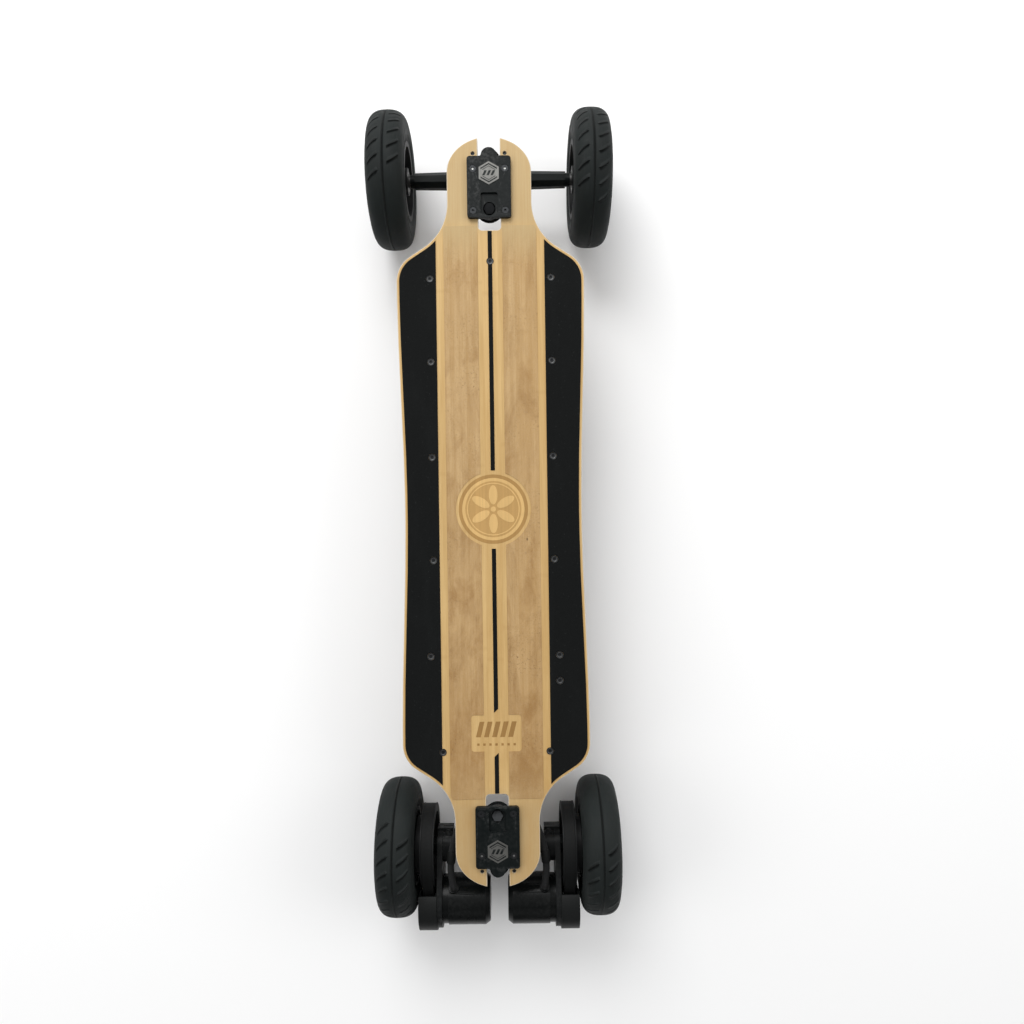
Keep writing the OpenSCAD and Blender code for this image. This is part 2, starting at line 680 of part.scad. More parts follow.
module yoke(end) color("#2b2f31") truck(end) difference() {
    union() {
        along_pin(inner_seat, roll_slope) translate([0, 0, -ring_thickness / 2])
            cylinder(r = seat_radius, h = ring_thickness);
        along_roll(inner_pivot) {
            pivot_nose(13);
            translate([0, 0, -46]) cylinder(r = 8.5, h = 46 - 13);
        }
        translate([-10, leg_y, outer_pivot[1]])
            cube([20, 11, inner_pivot[1] - (inner_pivot[0] - leg_y) * tan(roll_slope) - outer_pivot[1]]);
        along_roll(outer_pivot) translate([0, 0, -10]) cylinder(r = 11.5, h = 18);
        translate([-10, leg_y, outer_seat[1] + 11])
            cube([20, outer_seat[0] - leg_y - 10, 12]);
        along_pin(outer_seat, roll_slope) translate([0, 0, outer_boss]) cylinder(r = 12, h = boss_height);
    }
    along_pin(inner_seat, roll_slope) {
        translate([0, 0, -30]) cylinder(r = seat_bore, h = 50);
        translate([0, 0, ring_thickness / 2]) cylinder(r = bushing / 2 + 1, h = bushing_height);
        translate([0, 0, -ring_thickness / 2 - 30]) cylinder(r = bushing / 2 + 1, h = 30);
    }
    along_roll(outer_pivot) translate([0, 0, -8 - running_gap])
        cylinder(r = pivot_radius + cup_wall + running_gap, h = 40);
    along_pin(outer_seat, roll_slope) {
        translate([0, 0, -20]) cylinder(r = kingpin / 2 + 0.1, h = 60);
        cylinder(r = bushing / 2 + seat_gap, h = outer_boss);
        translate([0, 0, outer_boss + boss_height]) cylinder(r = 9, h = 10);
    }
}

module outer_kingpin(end) color("#9a9da0") truck(end) along_pin(outer_seat, roll_slope)
    kingpin_set(outer_boss + boss_height);

module outer_bushings(end) color("#b0342c") truck(end) {
    along_pin(outer_seat, roll_slope) bushing_set(outer_bushing);
    along_roll(outer_pivot) mirror([0, 0, 1]) pivot_cup();
}

// ---------- trucks: hanger, axle and wheels ----------

module hanger(end) color("#232628") truck(end) difference() {
    union() {
        across(-24, axle_y, axle_height) cylinder(r = hanger_diameter / 2, h = 48);
        for (side = [0, 1]) mirror([side, 0, 0]) {
            across(18, axle_y, axle_height) rotate([0, 0, 22.5])
                cylinder(r1 = hanger_diameter / 2 - 0.3, r2 = hanger_end / 2 + 0.4, h = hanger_half - 24, $fn = 8);
            across(hanger_half - 9, axle_y, axle_height) cylinder(r = hanger_end / 2 - 1.5, h = 9);
            if (end == tail) across(mount_outer_x - clamp_width - 1, axle_y, axle_height)
                cylinder(r = clamp_seat, h = clamp_width + 1.5);
        }
        along_roll(outer_pivot) mirror([0, 0, 1]) pivot_nose(20);
        along_roll(outer_seat) translate([-12, -ring_thickness / 2, -24]) cube([24, ring_thickness, 24]);
        along_pin(outer_seat, roll_slope) translate([0, 0, -ring_thickness / 2])
            cylinder(r = 14, h = ring_thickness);
    }
    along_pin(outer_seat, roll_slope) translate([0, 0, -20]) cylinder(r = seat_bore, h = 40);
    across(-hanger_half - through, axle_y, axle_height)
        cylinder(r = axle / 2 + running_gap, h = 2 * hanger_half + 2 * through);
}

module axle_rod(end) color("#b8bbbe") truck(end) {
    across(-wheel_x - rim_half_width - 1, axle_y, axle_height)
        cylinder(r = axle / 2, h = 2 * (wheel_x + rim_half_width + 1));
    for (side = [0, 1]) mirror([side, 0, 0]) {
        across(hanger_half, axle_y, axle_height) tube(8, axle / 2 + running_gap, axle_washer);
        across(wheel_x + hub_outer + seat_gap, axle_y, axle_height) difference() {
            hexagon(axle * 0.92, axle_nut);
            translate([0, 0, -through]) cylinder(r = axle / 2 + running_gap, h = axle_nut + 2 * through);
        }
    }
}

module wheel(end, side) at_side(end, side) translate([wheel_x, axle_y, axle_height])
    rotate([90, 0, 90]) children();

function rounded_power(v) = sign(v) * pow(abs(v), 2 / section_power);

function section_outline(inset) = [for (i = [0:47]) let (a = 7.5 * i)
    [section_y + (section_half - inset) * rounded_power(sin(a)),
        (tyre_width / 2 - inset) * rounded_power(cos(a))]];

module tyre(end, side) color("#26292a") wheel(end, side) rotate_extrude($fn = 128)
    difference() {
        polygon(section_outline(0));
        polygon(section_outline(tyre_wall));
        translate([0, -tyre_width / 2]) square([bead_radius, tyre_width]);
        translate([0, -14]) square([bead_radius + 4, 28]);
    }

module rim_half(hub) difference() {
    union() {
        tube(bead_radius - 0.2, bead_radius - 0.2 - rim_barrel, flange_x);
        translate([0, 0, flange_x]) tube(flange_radius, bead_radius - 0.2 - rim_barrel, rim_half_width - flange_x);
        cylinder(r = hub_radius, h = hub);
        for (i = [0:spokes - 1]) rotate([0, 0, i * 360 / spokes])
            translate([hub_radius - 3, -spoke_width / 2, 4])
                cube([bead_radius - rim_barrel - hub_radius + 4, spoke_width, hub_outer - 6]);
    }
    translate([0, 0, -through]) cylinder(r = 8.5, h = 40);
    translate([0, 0, hub - bearing_width]) cylinder(r = bearing_outer / 2 + running_gap, h = bearing_width + 2);
    for (i = [0:spokes - 1]) rotate([0, 0, i * 360 / spokes])
        translate([rim_bolt_circle, 0, -through]) cylinder(r = 2.6, h = 40);
}

module rim(end, side) color("#1d1f21") wheel(end, side) {
    rim_half(hub_outer);
    mirror([0, 0, 1]) rim_half(hub_inner);
    for (i = [0:spokes - 1]) rotate([0, 0, i * 360 / spokes]) translate([rim_bolt_circle, 0, 0]) {
        translate([0, 0, 2 - hub_outer]) cylinder(r = 2.5, h = 2 * hub_outer - 4);
        translate([0, 0, hub_outer - 2]) cylinder(r = 4.4, h = 3);
    }
}

module bearing() difference() {
    cylinder(r = bearing_outer / 2, h = bearing_width);
    translate([0, 0, -through]) cylinder(r = axle / 2 + running_gap, h = bearing_width + 2);
    for (z = [-through, bearing_width - 0.8]) translate([0, 0, z])
        tube(bearing_outer / 2 - 2, axle / 2 + 2.2, 0.8 + through);
}

module bearings(end, side) color("#c0c3c6") wheel(end, side) {
    translate([0, 0, hub_outer - bearing_width]) bearing();
    translate([0, 0, -hub_inner]) bearing();
    translate([0, 0, bearing_width - hub_inner])
        tube(7.5, axle / 2 + running_gap, hub_inner + hub_outer - 2 * bearing_width);
}

// ---------- belt drive ----------

// Motor axis of the side being drawn, with +X outboard
module at_motor(x) across(x, axle_y + motor_back, axle_height + motor_rise) children();

module drive_gear(side) color("#2c2f31") at_side(tail, side) difference() {
    union() {
        across(belt_x, axle_y, axle_height) linear_extrude(belt_width)
            polygon(toothed(gear_teeth, gear_pitch_radius - tip_drop, gear_pitch_radius - tip_drop - tooth_depth));
        for (x = [belt_x - gear_flange, belt_outer_x])
            across(x, axle_y, axle_height) cylinder(r = gear_pitch_radius + 2.4, h = gear_flange, $fn = 96);
        across(belt_outer_x, axle_y, axle_height)
            cylinder(r = 38, h = wheel_x - rim_half_width - belt_outer_x - seat_gap);
    }
    across(belt_x - 10, axle_y, axle_height) cylinder(r = 15, h = 60);
    across(belt_x - 10, axle_y, axle_height) cylinder(r = 44, h = 10 + belt_width - 6);
    for (i = [0:spokes - 1]) across(belt_x, axle_y, axle_height)
        rotate([0, 0, (i + 0.5) * 360 / spokes]) translate([27, 0, 0]) cylinder(r = 7, h = 60);
}

module drive_belts() color("#17181a") for (side = [left, right]) at_side(tail, side)
    across(belt_x + 0.2, axle_y, axle_height) rotate([0, 0, motor_angle]) linear_extrude(belt_width - 0.4)
        difference() {
            polygon(belt_outline(gear_pitch_radius - tip_drop + belt_gap + belt_thickness,
                pulley_pitch_radius - tip_drop + belt_gap + belt_thickness, gear_reach));
            polygon(belt_outline(gear_pitch_radius - tip_drop + belt_gap,
                pulley_pitch_radius - tip_drop + belt_gap, gear_reach));
        }

module mount_outline() {
    circle(r = mount_axle_radius);
    translate([gear_reach, 0]) circle(r = mount_motor_radius);
    lap = acos((mount_axle_radius - mount_motor_radius) / gear_reach);
    polygon([mount_axle_radius * [cos(lap), sin(lap)],
        [gear_reach + mount_motor_radius * cos(lap), mount_motor_radius * sin(lap)],
        [gear_reach + mount_motor_radius * cos(lap), -mount_motor_radius * sin(lap)],
        mount_axle_radius * [cos(lap), -sin(lap)]]);
}

module motor_mount(side) color("#33373a") at_side(tail, side) {
    difference() {
        union() {
            across(mount_inner_x, axle_y, axle_height) rotate([0, 0, motor_angle])
                linear_extrude(mount_thickness) mount_outline();
            across(mount_outer_x - clamp_width, axle_y, axle_height) cylinder(r = clamp_radius, h = clamp_width);
            translate([mount_outer_x - clamp_width, axle_y - clamp_radius - 4, axle_height - 9])
                cube([clamp_width, 12, 18]);
        }
        across(0, axle_y, axle_height) cylinder(r = clamp_seat + running_gap, h = 200);
        translate([mount_outer_x - clamp_width - 1, axle_y - clamp_radius - 6, axle_height - 1])
            cube([clamp_width - mount_thickness + 1, 20, 2]);
        at_motor(mount_inner_x - 1) cylinder(r = 13 + seat_gap, h = 20);
        translate([mount_outer_x - clamp_width + 6, axle_y - clamp_radius + 1.5, 0])
            cylinder(r = 2.6, h = 2 * axle_height);
    }
    translate([mount_outer_x - clamp_width + 6, axle_y - clamp_radius + 1.5, axle_height - 12])
        cylinder(r = 2.5, h = 24);
    translate([mount_outer_x - clamp_width + 6, axle_y - clamp_radius + 1.5, axle_height + 9])
        cylinder(r = 4.5, h = 5);
}

module motor_can(side) color("#1f2224") at_side(tail, side) {
    translate([boss_x, axle_y + motor_back, axle_height + motor_rise]) rotate([45, 0, 0])
        translate([0, 0, can_radius - 1.2]) cylinder(r = lead_diameter / 2 + 2, h = 1.2 + boss_rise);
    at_motor(can_inner_x) rotate_extrude($fn = 96) {
        length = mount_inner_x - can_inner_x;
        collar = 8;
        chamfer = 4.5;
        polygon([[0, 0], [can_radius - chamfer, 0], [can_radius, chamfer * 1.4], [can_radius, length - collar],
            [can_radius - 1.5, length - collar], [can_radius - 1.5, length], [can_radius - 3.5, length],
            [can_radius - 3.5, length - collar - 2], [can_radius - can_wall, length - collar - 2],
            [can_radius - can_wall, chamfer * 1.4 + 1], [can_radius - chamfer - 1, 2.5], [0, 2.5]]);
    }
}

module motor_stators() for (side = [left, right]) at_side(tail, side) {
    color("#b87333") at_motor(can_inner_x + 20) difference() {
        union() {
            tube(can_radius - 7, 9, 30);
            tube(13, 9, mount_inner_x - can_inner_x - 20);
        }
        for (i = [0:11]) rotate([0, 0, 30 * i]) translate([16, -1.5, -1]) cube([20, 3, 32]);
    }
    color("silver") for (x = [can_inner_x + 22, mount_inner_x - 8])
        at_motor(x) tube(9 - running_gap, shaft_radius + running_gap, 6);
}

module motor_rotor(side) at_side(tail, side) {
    color("#8f9396") {
        at_motor(can_inner_x + 6) {
            cylinder(r = shaft_radius, h = belt_outer_x + 2 - can_inner_x - 6);
            cylinder(r = can_radius - 3, h = 3);
            tube(can_radius - 3, can_radius - 6, 46);
        }
    }
    color("#55595c") at_motor(belt_x - 1) difference() {
        union() {
            translate([0, 0, 1]) linear_extrude(belt_width) polygon(toothed(pulley_teeth,
                pulley_pitch_radius - tip_drop, pulley_pitch_radius - tip_drop - tooth_depth));
            for (z = [-0.2, belt_width + 1]) translate([0, 0, z]) cylinder(r = pulley_pitch_radius + 2.3, h = 1.2);
        }
        translate([0, 0, -2]) cylinder(r = shaft_radius + running_gap, h = 40);
    }
}

module belt_cover(side) color("#191b1d") at_side(tail, side) difference() {
    at_motor(mount_outer_x) cylinder(r = cover_radius, h = cover_outer_x - mount_outer_x, $fn = 96);
    at_motor(mount_outer_x - through)
        cylinder(r = cover_radius - cover_wall, h = cover_outer_x - mount_outer_x - cover_wall + through, $fn = 96);
    across(mount_outer_x - through, axle_y, axle_height) cylinder(r = cover_cut, h = 60, $fn = 96);
    translate([0, axle_y, 0]) cube([2 * wheel_x, motor_back - cover_front, 2 * axle_height]);
    across(mount_outer_x - through, axle_y, axle_height) rotate([0, 0, motor_angle])
        linear_extrude(cover_outer_x - mount_outer_x - cover_wall + through)
            polygon(belt_outline(gear_pitch_radius + 5, pulley_pitch_radius + 5, gear_reach));
}

// ---------- motor leads ----------

function unit(v) = v / norm(v);

function lead_smooth(points, share) =
    [for (i = [0:len(points) - 2], s = [0:share - 1]) let (
        p0 = points[max(i - 1, 0)], p1 = points[i], p2 = points[i + 1],
        p3 = points[min(i + 2, len(points) - 1)], t = s / share)
        0.5 * (2 * p1 + t * (p2 - p0) + t * t * (2 * p0 - 5 * p1 + 4 * p2 - p3)
            + t * t * t * (3 * p1 - p0 - 3 * p2 + p3))];

module lead(points, radius) {
    path = concat(lead_smooth(points, 2), [points[len(points) - 1]]);
    n = len(path);
    rings = [for (i = [0:n - 1]) let (
        ahead = unit(path[min(i + 1, n - 1)] - path[max(i - 1, 0)]),
        across_dir = unit(cross(ahead, [0, 0, 1])), up = cross(across_dir, ahead))
        for (k = [0:lead_sides - 1]) path[i] + radius
            * (cos(360 * k / lead_sides) * across_dir + sin(360 * k / lead_sides) * up)];
    polyhedron(rings, concat(
        [[for (k = [0:lead_sides - 1]) k]],
        [for (i = [0:n - 2], k = [0:lead_sides - 1]) let (a = i * lead_sides + k,
            b = i * lead_sides + (k + 1) % lead_sides) [a, a + lead_sides, b + lead_sides, b]],
        [[for (k = [lead_sides - 1:-1:0]) (n - 1) * lead_sides + k]]));
}

module motor_leads() color("#141516") for (side = [left, right]) at_side(tail, side)
    lead(lead_route, lead_diameter / 2);

// ---------- nodes ----------

deck();
side_grip(left);  // side_grip_left
side_grip(right);  // side_grip_right
clear_grip_panels();
centre_strips();
case_shell();
case_gasket();
case_bolts();
battery_cells();
cell_holders();
battery_board();
speed_controller();
charge_socket();
cable_glands();
power_button();
charge_cap();
baseplate(nose);  // front_baseplate
baseplate(tail);  // rear_baseplate
baseplate_badges();
truck_bolts();
inner_kingpin(nose);  // front_inner_kingpin
inner_kingpin(tail);  // rear_inner_kingpin
inner_bushings(nose);  // front_inner_bushings
inner_bushings(tail);  // rear_inner_bushings
yoke(nose);  // front_yoke
yoke(tail);  // rear_yoke
outer_kingpin(nose);  // front_outer_kingpin
outer_kingpin(tail);  // rear_outer_kingpin
outer_bushings(nose);  // front_outer_bushings
outer_bushings(tail);  // rear_outer_bushings
hanger(nose);  // front_hanger
hanger(tail);  // rear_hanger
axle_rod(nose);  // front_axle
axle_rod(tail);  // rear_axle
motor_mount(left);  // motor_mount_left
motor_mount(right);  // motor_mount_right
motor_can(left);  // motor_can_left
motor_can(right);  // motor_can_right
motor_stators();
motor_rotor(left);  // motor_rotor_left
motor_rotor(right);  // motor_rotor_right
belt_cover(left);  // belt_cover_left
belt_cover(right);  // belt_cover_right
drive_belts();
motor_leads();
drive_gear(left);  // drive_gear_left
drive_gear(right);  // drive_gear_right
tyre(nose, left);  // front_tyre_left
tyre(nose, right);  // front_tyre_right
tyre(tail, left);  // rear_tyre_left
tyre(tail, right);  // rear_tyre_right
rim(nose, left);  // front_rim_left
rim(nose, right);  // front_rim_right
rim(tail, left);  // rear_rim_left
rim(tail, right);  // rear_rim_right
bearings(nose, left);  // front_bearings_left
bearings(nose, right);  // front_bearings_right
bearings(tail, left);  // rear_bearings_left
bearings(tail, right);  // rear_bearings_right
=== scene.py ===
import json
import math

import bmesh
import bpy
from bpy.props import FloatProperty, FloatVectorProperty, IntProperty, PointerProperty
from bpy.types import Operator, Panel, PropertyGroup
from mathutils import Matrix, Vector

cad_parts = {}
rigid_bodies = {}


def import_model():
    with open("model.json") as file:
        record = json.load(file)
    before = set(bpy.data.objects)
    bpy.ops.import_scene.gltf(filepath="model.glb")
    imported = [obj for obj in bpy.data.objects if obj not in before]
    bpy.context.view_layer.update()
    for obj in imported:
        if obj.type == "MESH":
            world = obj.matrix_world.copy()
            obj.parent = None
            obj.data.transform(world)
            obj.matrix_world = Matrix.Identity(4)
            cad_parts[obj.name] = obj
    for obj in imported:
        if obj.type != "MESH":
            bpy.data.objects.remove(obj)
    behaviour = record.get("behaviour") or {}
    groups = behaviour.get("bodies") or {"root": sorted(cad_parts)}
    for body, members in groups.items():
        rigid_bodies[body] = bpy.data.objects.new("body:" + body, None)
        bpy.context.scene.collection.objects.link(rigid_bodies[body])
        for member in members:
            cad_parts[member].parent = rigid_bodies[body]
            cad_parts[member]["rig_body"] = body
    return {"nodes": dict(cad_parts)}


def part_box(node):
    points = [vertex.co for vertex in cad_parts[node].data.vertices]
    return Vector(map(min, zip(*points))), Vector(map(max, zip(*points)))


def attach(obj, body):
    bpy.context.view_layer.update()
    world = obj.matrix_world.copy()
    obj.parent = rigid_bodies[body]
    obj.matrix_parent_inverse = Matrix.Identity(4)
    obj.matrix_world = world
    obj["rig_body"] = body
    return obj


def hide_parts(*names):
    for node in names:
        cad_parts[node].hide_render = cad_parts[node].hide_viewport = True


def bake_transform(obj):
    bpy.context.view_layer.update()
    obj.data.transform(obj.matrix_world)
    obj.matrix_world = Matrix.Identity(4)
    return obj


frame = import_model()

bl_info = {
    "name": "All-terrain electric skateboard",
    "version": (1, 0, 0),
    "blender": (4, 5, 0),
    "location": "View3D > Sidebar > Skateboard",
    "description": "Builds the visible pieces of a bamboo electric skateboard around its packed frame",
    "category": "Object",
}

MM = 0.001
TURN = 2 * math.pi
ROUND = 128    # segments round the emblem
NODES = frame["nodes"]
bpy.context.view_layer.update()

# ---------- places, all taken from the packed frame ----------


def middle_of(node):
    """Centre of a CAD node's box."""
    low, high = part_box(node)
    return (low + high) / 2


DECK_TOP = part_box("deck")[1].z
DECK_MIDDLE = middle_of("deck").y
CASE_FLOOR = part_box("case_shell")[0].z
ENDS = ("front", "rear")
SIDES = ("left", "right")
SIGN = {"left": -1, "right": 1}
BOARD = Matrix.Translation((0, DECK_MIDDLE, 0))
TRUCK = {"front": BOARD, "rear": BOARD @ Matrix.Rotation(math.pi, 4, "Z")}
# Turns a shape drawn round Z to lie along +X
ACROSS = Matrix(((0, 0, 1, 0), (1, 0, 0, 0), (0, 1, 0, 0), (0, 0, 0, 1)))

# ---------- sizes and colours that a user would change ----------


def length(name, description, default, low=0.0, high=1.0):
    return FloatProperty(name=name, description=description, default=default, min=low, max=high,
                         unit="LENGTH", precision=5)


def colour(name, description, default):
    return FloatVectorProperty(name=name, description=description, default=(*default, 1.0), size=4,
                               min=0.0, max=1.0, subtype="COLOR")


class DeckSettings(PropertyGroup):
    """Deck, grip and engraving."""

    edge_round: length("Edge round", "Radius of the deck's rounded rim", 4.4 * MM, 0.0, 5 * MM)
    strip_width: length("Strip width", "Width of one bamboo strip", 21 * MM, 5 * MM, 60 * MM)
    emblem_offset: length("Emblem offset", "Emblem's centre ahead of the deck's middle", 4 * MM, -0.1, 0.1)
    emblem_ring: length("Emblem ring", "Outer radius of the engraved ring", 44.8 * MM, 0.02, 0.06)
    patch_offset: length("Patch offset", "Patch's centre behind the deck's middle", 285 * MM, 0.2, 0.3)
    petals: IntProperty(name="Petals", description="Petals of the emblem's rosette", default=6, min=3, max=12)
    bamboo: colour("Bamboo", "Bare bamboo under clear lacquer", (0.560, 0.380, 0.165))
    bamboo_dark: colour("Bamboo grain", "Darker grain and knuckles", (0.36, 0.205, 0.062))
    nose_wood: colour("Nose wood", "Paler wood at the nose", (0.458, 0.338, 0.172))
    tail_wood: colour("Tail wood", "Worn wood at the tail", (0.430, 0.305, 0.152))
    worn: colour("Clear grip", "Bamboo seen through worn clear grip", (0.490, 0.334, 0.163))
    stain: colour("Stain", "Dirt ground into the clear grip", (0.245, 0.130, 0.038))
    engraved: colour("Engraving", "Bamboo browned by engraving", (0.540, 0.338, 0.128))
    grip: colour("Grip", "Black grit sheet", (0.0042, 0.0048, 0.0048))


class WheelSettings(PropertyGroup):
    """Tyres, rims and drive."""

    pitches: IntProperty(name="Tread pitches", description="Tread blocks round a tyre", default=28, min=8, max=30)
    sipe_width: length("Sipe width", "Width of a shoulder sipe", 1.2 * MM, 0.5 * MM, 4 * MM)
    sipe_depth: length("Sipe depth", "Depth of a shoulder sipe", 0.7 * MM, 0.3 * MM, 3 * MM)
    sipe_sweep: length("Sipe sweep", "How far round the tyre a sipe sweeps", 12 * MM, 0.0, 20 * MM)
    groove_depth: length("Groove depth", "Depth of the groove round the crown", 0.5 * MM, 0.3 * MM, 3 * MM)
    rubber: colour("Rubber", "Tyre rubber", (0.0080, 0.0104, 0.0101))
    rim: colour("Rim", "Rim plastic", (0.0070, 0.0077, 0.0080))
    bushing: colour("Bushing", "Steering bushings", (0.16, 0.018, 0.012))


class MetalSettings(PropertyGroup):
    """Painted and bare metal."""

    truck_paint: colour("Truck paint", "Powder coat on plates, yokes and hangers", (0.0036, 0.0054, 0.0054))
    can_paint: colour("Motor paint", "Gloss paint on the motor cans", (0.0030, 0.0036, 0.0036))
    badge: colour("Badge", "Brushed badge", (0.185, 0.184, 0.174))
    steel: colour("Steel", "Button, bolt ends and other bright parts", (0.36, 0.36, 0.35))


class StageSettings(PropertyGroup):
    """Camera, floor and lights."""

    camera_x: length("Camera X", "Camera's place across the board", 0.024, -2, 2)
    camera_y: length("Camera Y", "Camera's place along the board", 0.0095, -2, 2)
    camera_z: length("Camera height", "Camera's height above the floor", 1.210, 0.3, 10)
    camera_turn: FloatProperty(name="Camera turn", description="Turn of the picture", subtype="ANGLE",
                               default=math.radians(-0.774))
    lens: FloatProperty(name="Lens", description="Focal length in millimetres", default=28.617, min=10, max=200)
    key: FloatProperty(name="Key light", description="Power of the front light in watts", default=44, min=0)
    fill: FloatProperty(name="Fill light", description="Power of a side light in watts", default=12, min=0)
    sky: FloatProperty(name="Sky", description="Strength of the light from all round", default=1.0, min=0)
    floor: colour("Floor", "Pale studio floor", (0.93, 0.93, 0.93))


# ---------- finishes ----------


def settings(group):
    """The settings of one group, as the user left them."""
    return getattr(bpy.context.scene, "skateboard_" + group)


class Finish:
    """Adds and links the shader nodes of one material."""

    def __init__(self, name, base=(0.5, 0.5, 0.5, 1), **sockets):
        self.material = bpy.data.materials.new(name)
        self.material.use_nodes = True
        self.tree = self.material.node_tree
        self.shader = self.tree.nodes["Principled BSDF"]
        self.place = self.tree.nodes.new("ShaderNodeTexCoord").outputs["Object"]
        self.set("Base Color", tuple(base))
        for socket, value in sockets.items():
            self.set(socket.replace("_", " "), value)

    def set(self, socket, value):
        self.feed(self.shader.inputs[socket], value)
        return self

    def feed(self, socket, value):
        if isinstance(value, bpy.types.NodeSocket):
            self.tree.links.new(value, socket)
        else:
            socket.default_value = value

    def add(self, kind, inputs=None, out=0, **settings):
        node = self.tree.nodes.new("ShaderNode" + kind)
        for key, value in settings.items():
            setattr(node, key, value)
        for socket, value in (inputs or {}).items():
            self.feed(node.inputs[socket], value)
        return node.outputs[out]

    def stretch(self, x, y, z, turn=0.0, source=None):
        return self.add("Mapping", {"Vector": source or self.place, "Scale": (x, y, z), "Rotation": (0, 0, turn)})

    def noise(self, scale, detail=3.0, rough=0.5, vector=None, distortion=0.0):
        return self.add("TexNoise", {"Vector": vector or self.place, "Scale": scale, "Detail": detail,
                                     "Roughness": rough, "Distortion": distortion})

    def cells(self, scale, out=0, vector=None, **settings):
        return self.add("TexVoronoi", {"Vector": vector or self.place, "Scale": scale}, out=out, **settings)

    def sum(self, operation, a, b=0.0, c=0.0):
        return self.add("Math", {0: a, 1: b, 2: c}, operation=operation)

    def times(self, a, b):
        return self.sum("MULTIPLY", a, b)

    def streaks(self, x, y, z, detail, rough, distortion=0.0):
        """Noise stretched by a scale along each axis."""
        return self.noise(1.0, detail, rough, self.stretch(x, y, z), distortion)

    def along_deck(self, start, end, first, last):
        """Runs from first to last between two distances ahead of the deck's middle."""
        return self.add("MapRange", {"Value": self.axis("Y"), "From Min": DECK_MIDDLE + start,
                                     "From Max": DECK_MIDDLE + end, "To Min": first, "To Max": last})

    def levelness(self):
        """1 on a level face and 0 on an upright one."""
        return self.sum("ABSOLUTE", self.axis("Z", self.add("NewGeometry", out=3)))

    def ramp(self, factor, *stops):
        node = self.tree.nodes.new("ShaderNodeValToRGB")
        band = node.color_ramp
        while len(band.elements) < len(stops):
            band.elements.new(0.5)
        for element, (position, value) in zip(band.elements, stops):
            element.position = position
            element.color = value if hasattr(value, "__len__") else (value, value, value, 1)
        self.feed(node.inputs[0], factor)
        return node.outputs[0]

    def mix(self, factor, a, b, kind="MIX"):
        return self.add("Mix", {0: factor, 6: a, 7: b}, out=2, data_type="RGBA", blend_type=kind)

    def axis(self, letter, source=None):
        return self.add("SeparateXYZ", {0: source or self.place}, out="XYZ".index(letter))

    def relief(self, height, depth, strength=1.0, under=None):
        inputs = {"Height": height, "Distance": depth, "Strength": strength}
        if under is not None:
            inputs["Normal"] = under
        return self.add("Bump", inputs)


def shade(value, factor):
    """A colour made lighter or darker."""
    return tuple(min(1.0, v * factor) for v in value[:3]) + (1.0,)


FINISHES = {}


def finish(maker, *details):
    """Each finish is made once and shared."""
    key = (maker.__name__, *details)
    if key not in FINISHES:
        FINISHES[key] = maker(*details)
    return FINISHES[key]


def bamboo_pattern(f, base, dark):
    """Strips of bamboo laid lengthwise: tone of each strip, long grain, knuckles and glue lines."""
    deck = settings("deck")
    across = f.sum("DIVIDE", f.axis("X"), deck.strip_width)
    strip = f.sum("FLOOR", f.sum("ADD", across, 0.5))
    tone = f.add("TexWhiteNoise", {"W": strip}, noise_dimensions="1D")
    slot = f.sum("ABSOLUTE", f.sum("SUBTRACT", f.sum("FRACT", f.sum("ADD", across, 0.5)), 0.5))
    seam = f.ramp(slot, (0.478, 0.0), (0.497, 1.0))
    grain = f.streaks(900, 16, 300, 5.0, 0.62)
    broad = f.streaks(150, 5, 80, 3.0, 0.5)
    along = f.sum("ADD", f.sum("DIVIDE", f.axis("Y"), 0.236), f.times(tone, 7.31))
    wobble = f.times(f.noise(90.0, 2.0), 0.012)
    near = f.sum("ABSOLUTE", f.sum("SUBTRACT", f.sum("FRACT", f.sum("ADD", along, wobble)), 0.5))
    knuckle = f.ramp(near, (0.0, 1.0), (0.007, 0.75), (0.016, 0.0))
    body = f.mix(f.ramp(grain, (0.36, 0.0), (0.70, 0.42)), base, dark)
    body = f.mix(f.ramp(broad, (0.42, 0.0), (0.68, 0.30)), body, shade(dark, 1.2))
    body = f.mix(f.ramp(broad, (0.30, 0.55), (0.50, 0.0)), body, shade(base, 1.14))
    body = f.mix(f.times(tone, 0.20), body, shade(dark, 1.3))
    body = f.mix(f.times(knuckle, 0.16), body, dark)
    body = f.mix(f.times(seam, 0.20), body, dark)
    return body, f.sum("ADD", f.times(grain, 0.6), f.times(knuckle, 0.7)), grain


def plies(f):
    """Thin dark glue lines between the layers, on upright faces only."""
    layer = f.sum("FRACT", f.sum("DIVIDE", f.axis("Z"), 0.003))
    upright_face = f.ramp(f.levelness(), (0.15, 1.0), (0.5, 0.0))
    return f.times(f.ramp(layer, (0.0, 1.0), (0.12, 0.0), (0.88, 0.0), (1.0, 1.0)), upright_face)


def end_wood(f, body, grain, start, end, nose, tail):
    """Fades by these amounts to the paler wood of nose and tail, beyond a distance from the deck's middle."""
    deck = settings("deck")
    place = f.sum("SUBTRACT", f.axis("Y"), DECK_MIDDLE)
    wander = f.sum("MULTIPLY_ADD", f.noise(22.0, 3.0), 0.016, -0.008)
    far = f.add("MapRange", {"Value": f.sum("ADD", f.sum("ABSOLUTE", place), wander), "From Min": start,
                             "From Max": end, "To Max": 1.0})
    ahead = f.sum("GREATER_THAN", place)
    far = f.times(far, f.sum("MULTIPLY_ADD", ahead, nose - tail, tail))
    pale = f.mix(ahead, deck.tail_wood, deck.nose_wood)
    pale = f.mix(f.ramp(grain, (0.40, 0.0), (0.72, 0.40)), pale, shade(deck.bamboo_dark, 1.15))
    return f.mix(far, body, pale)


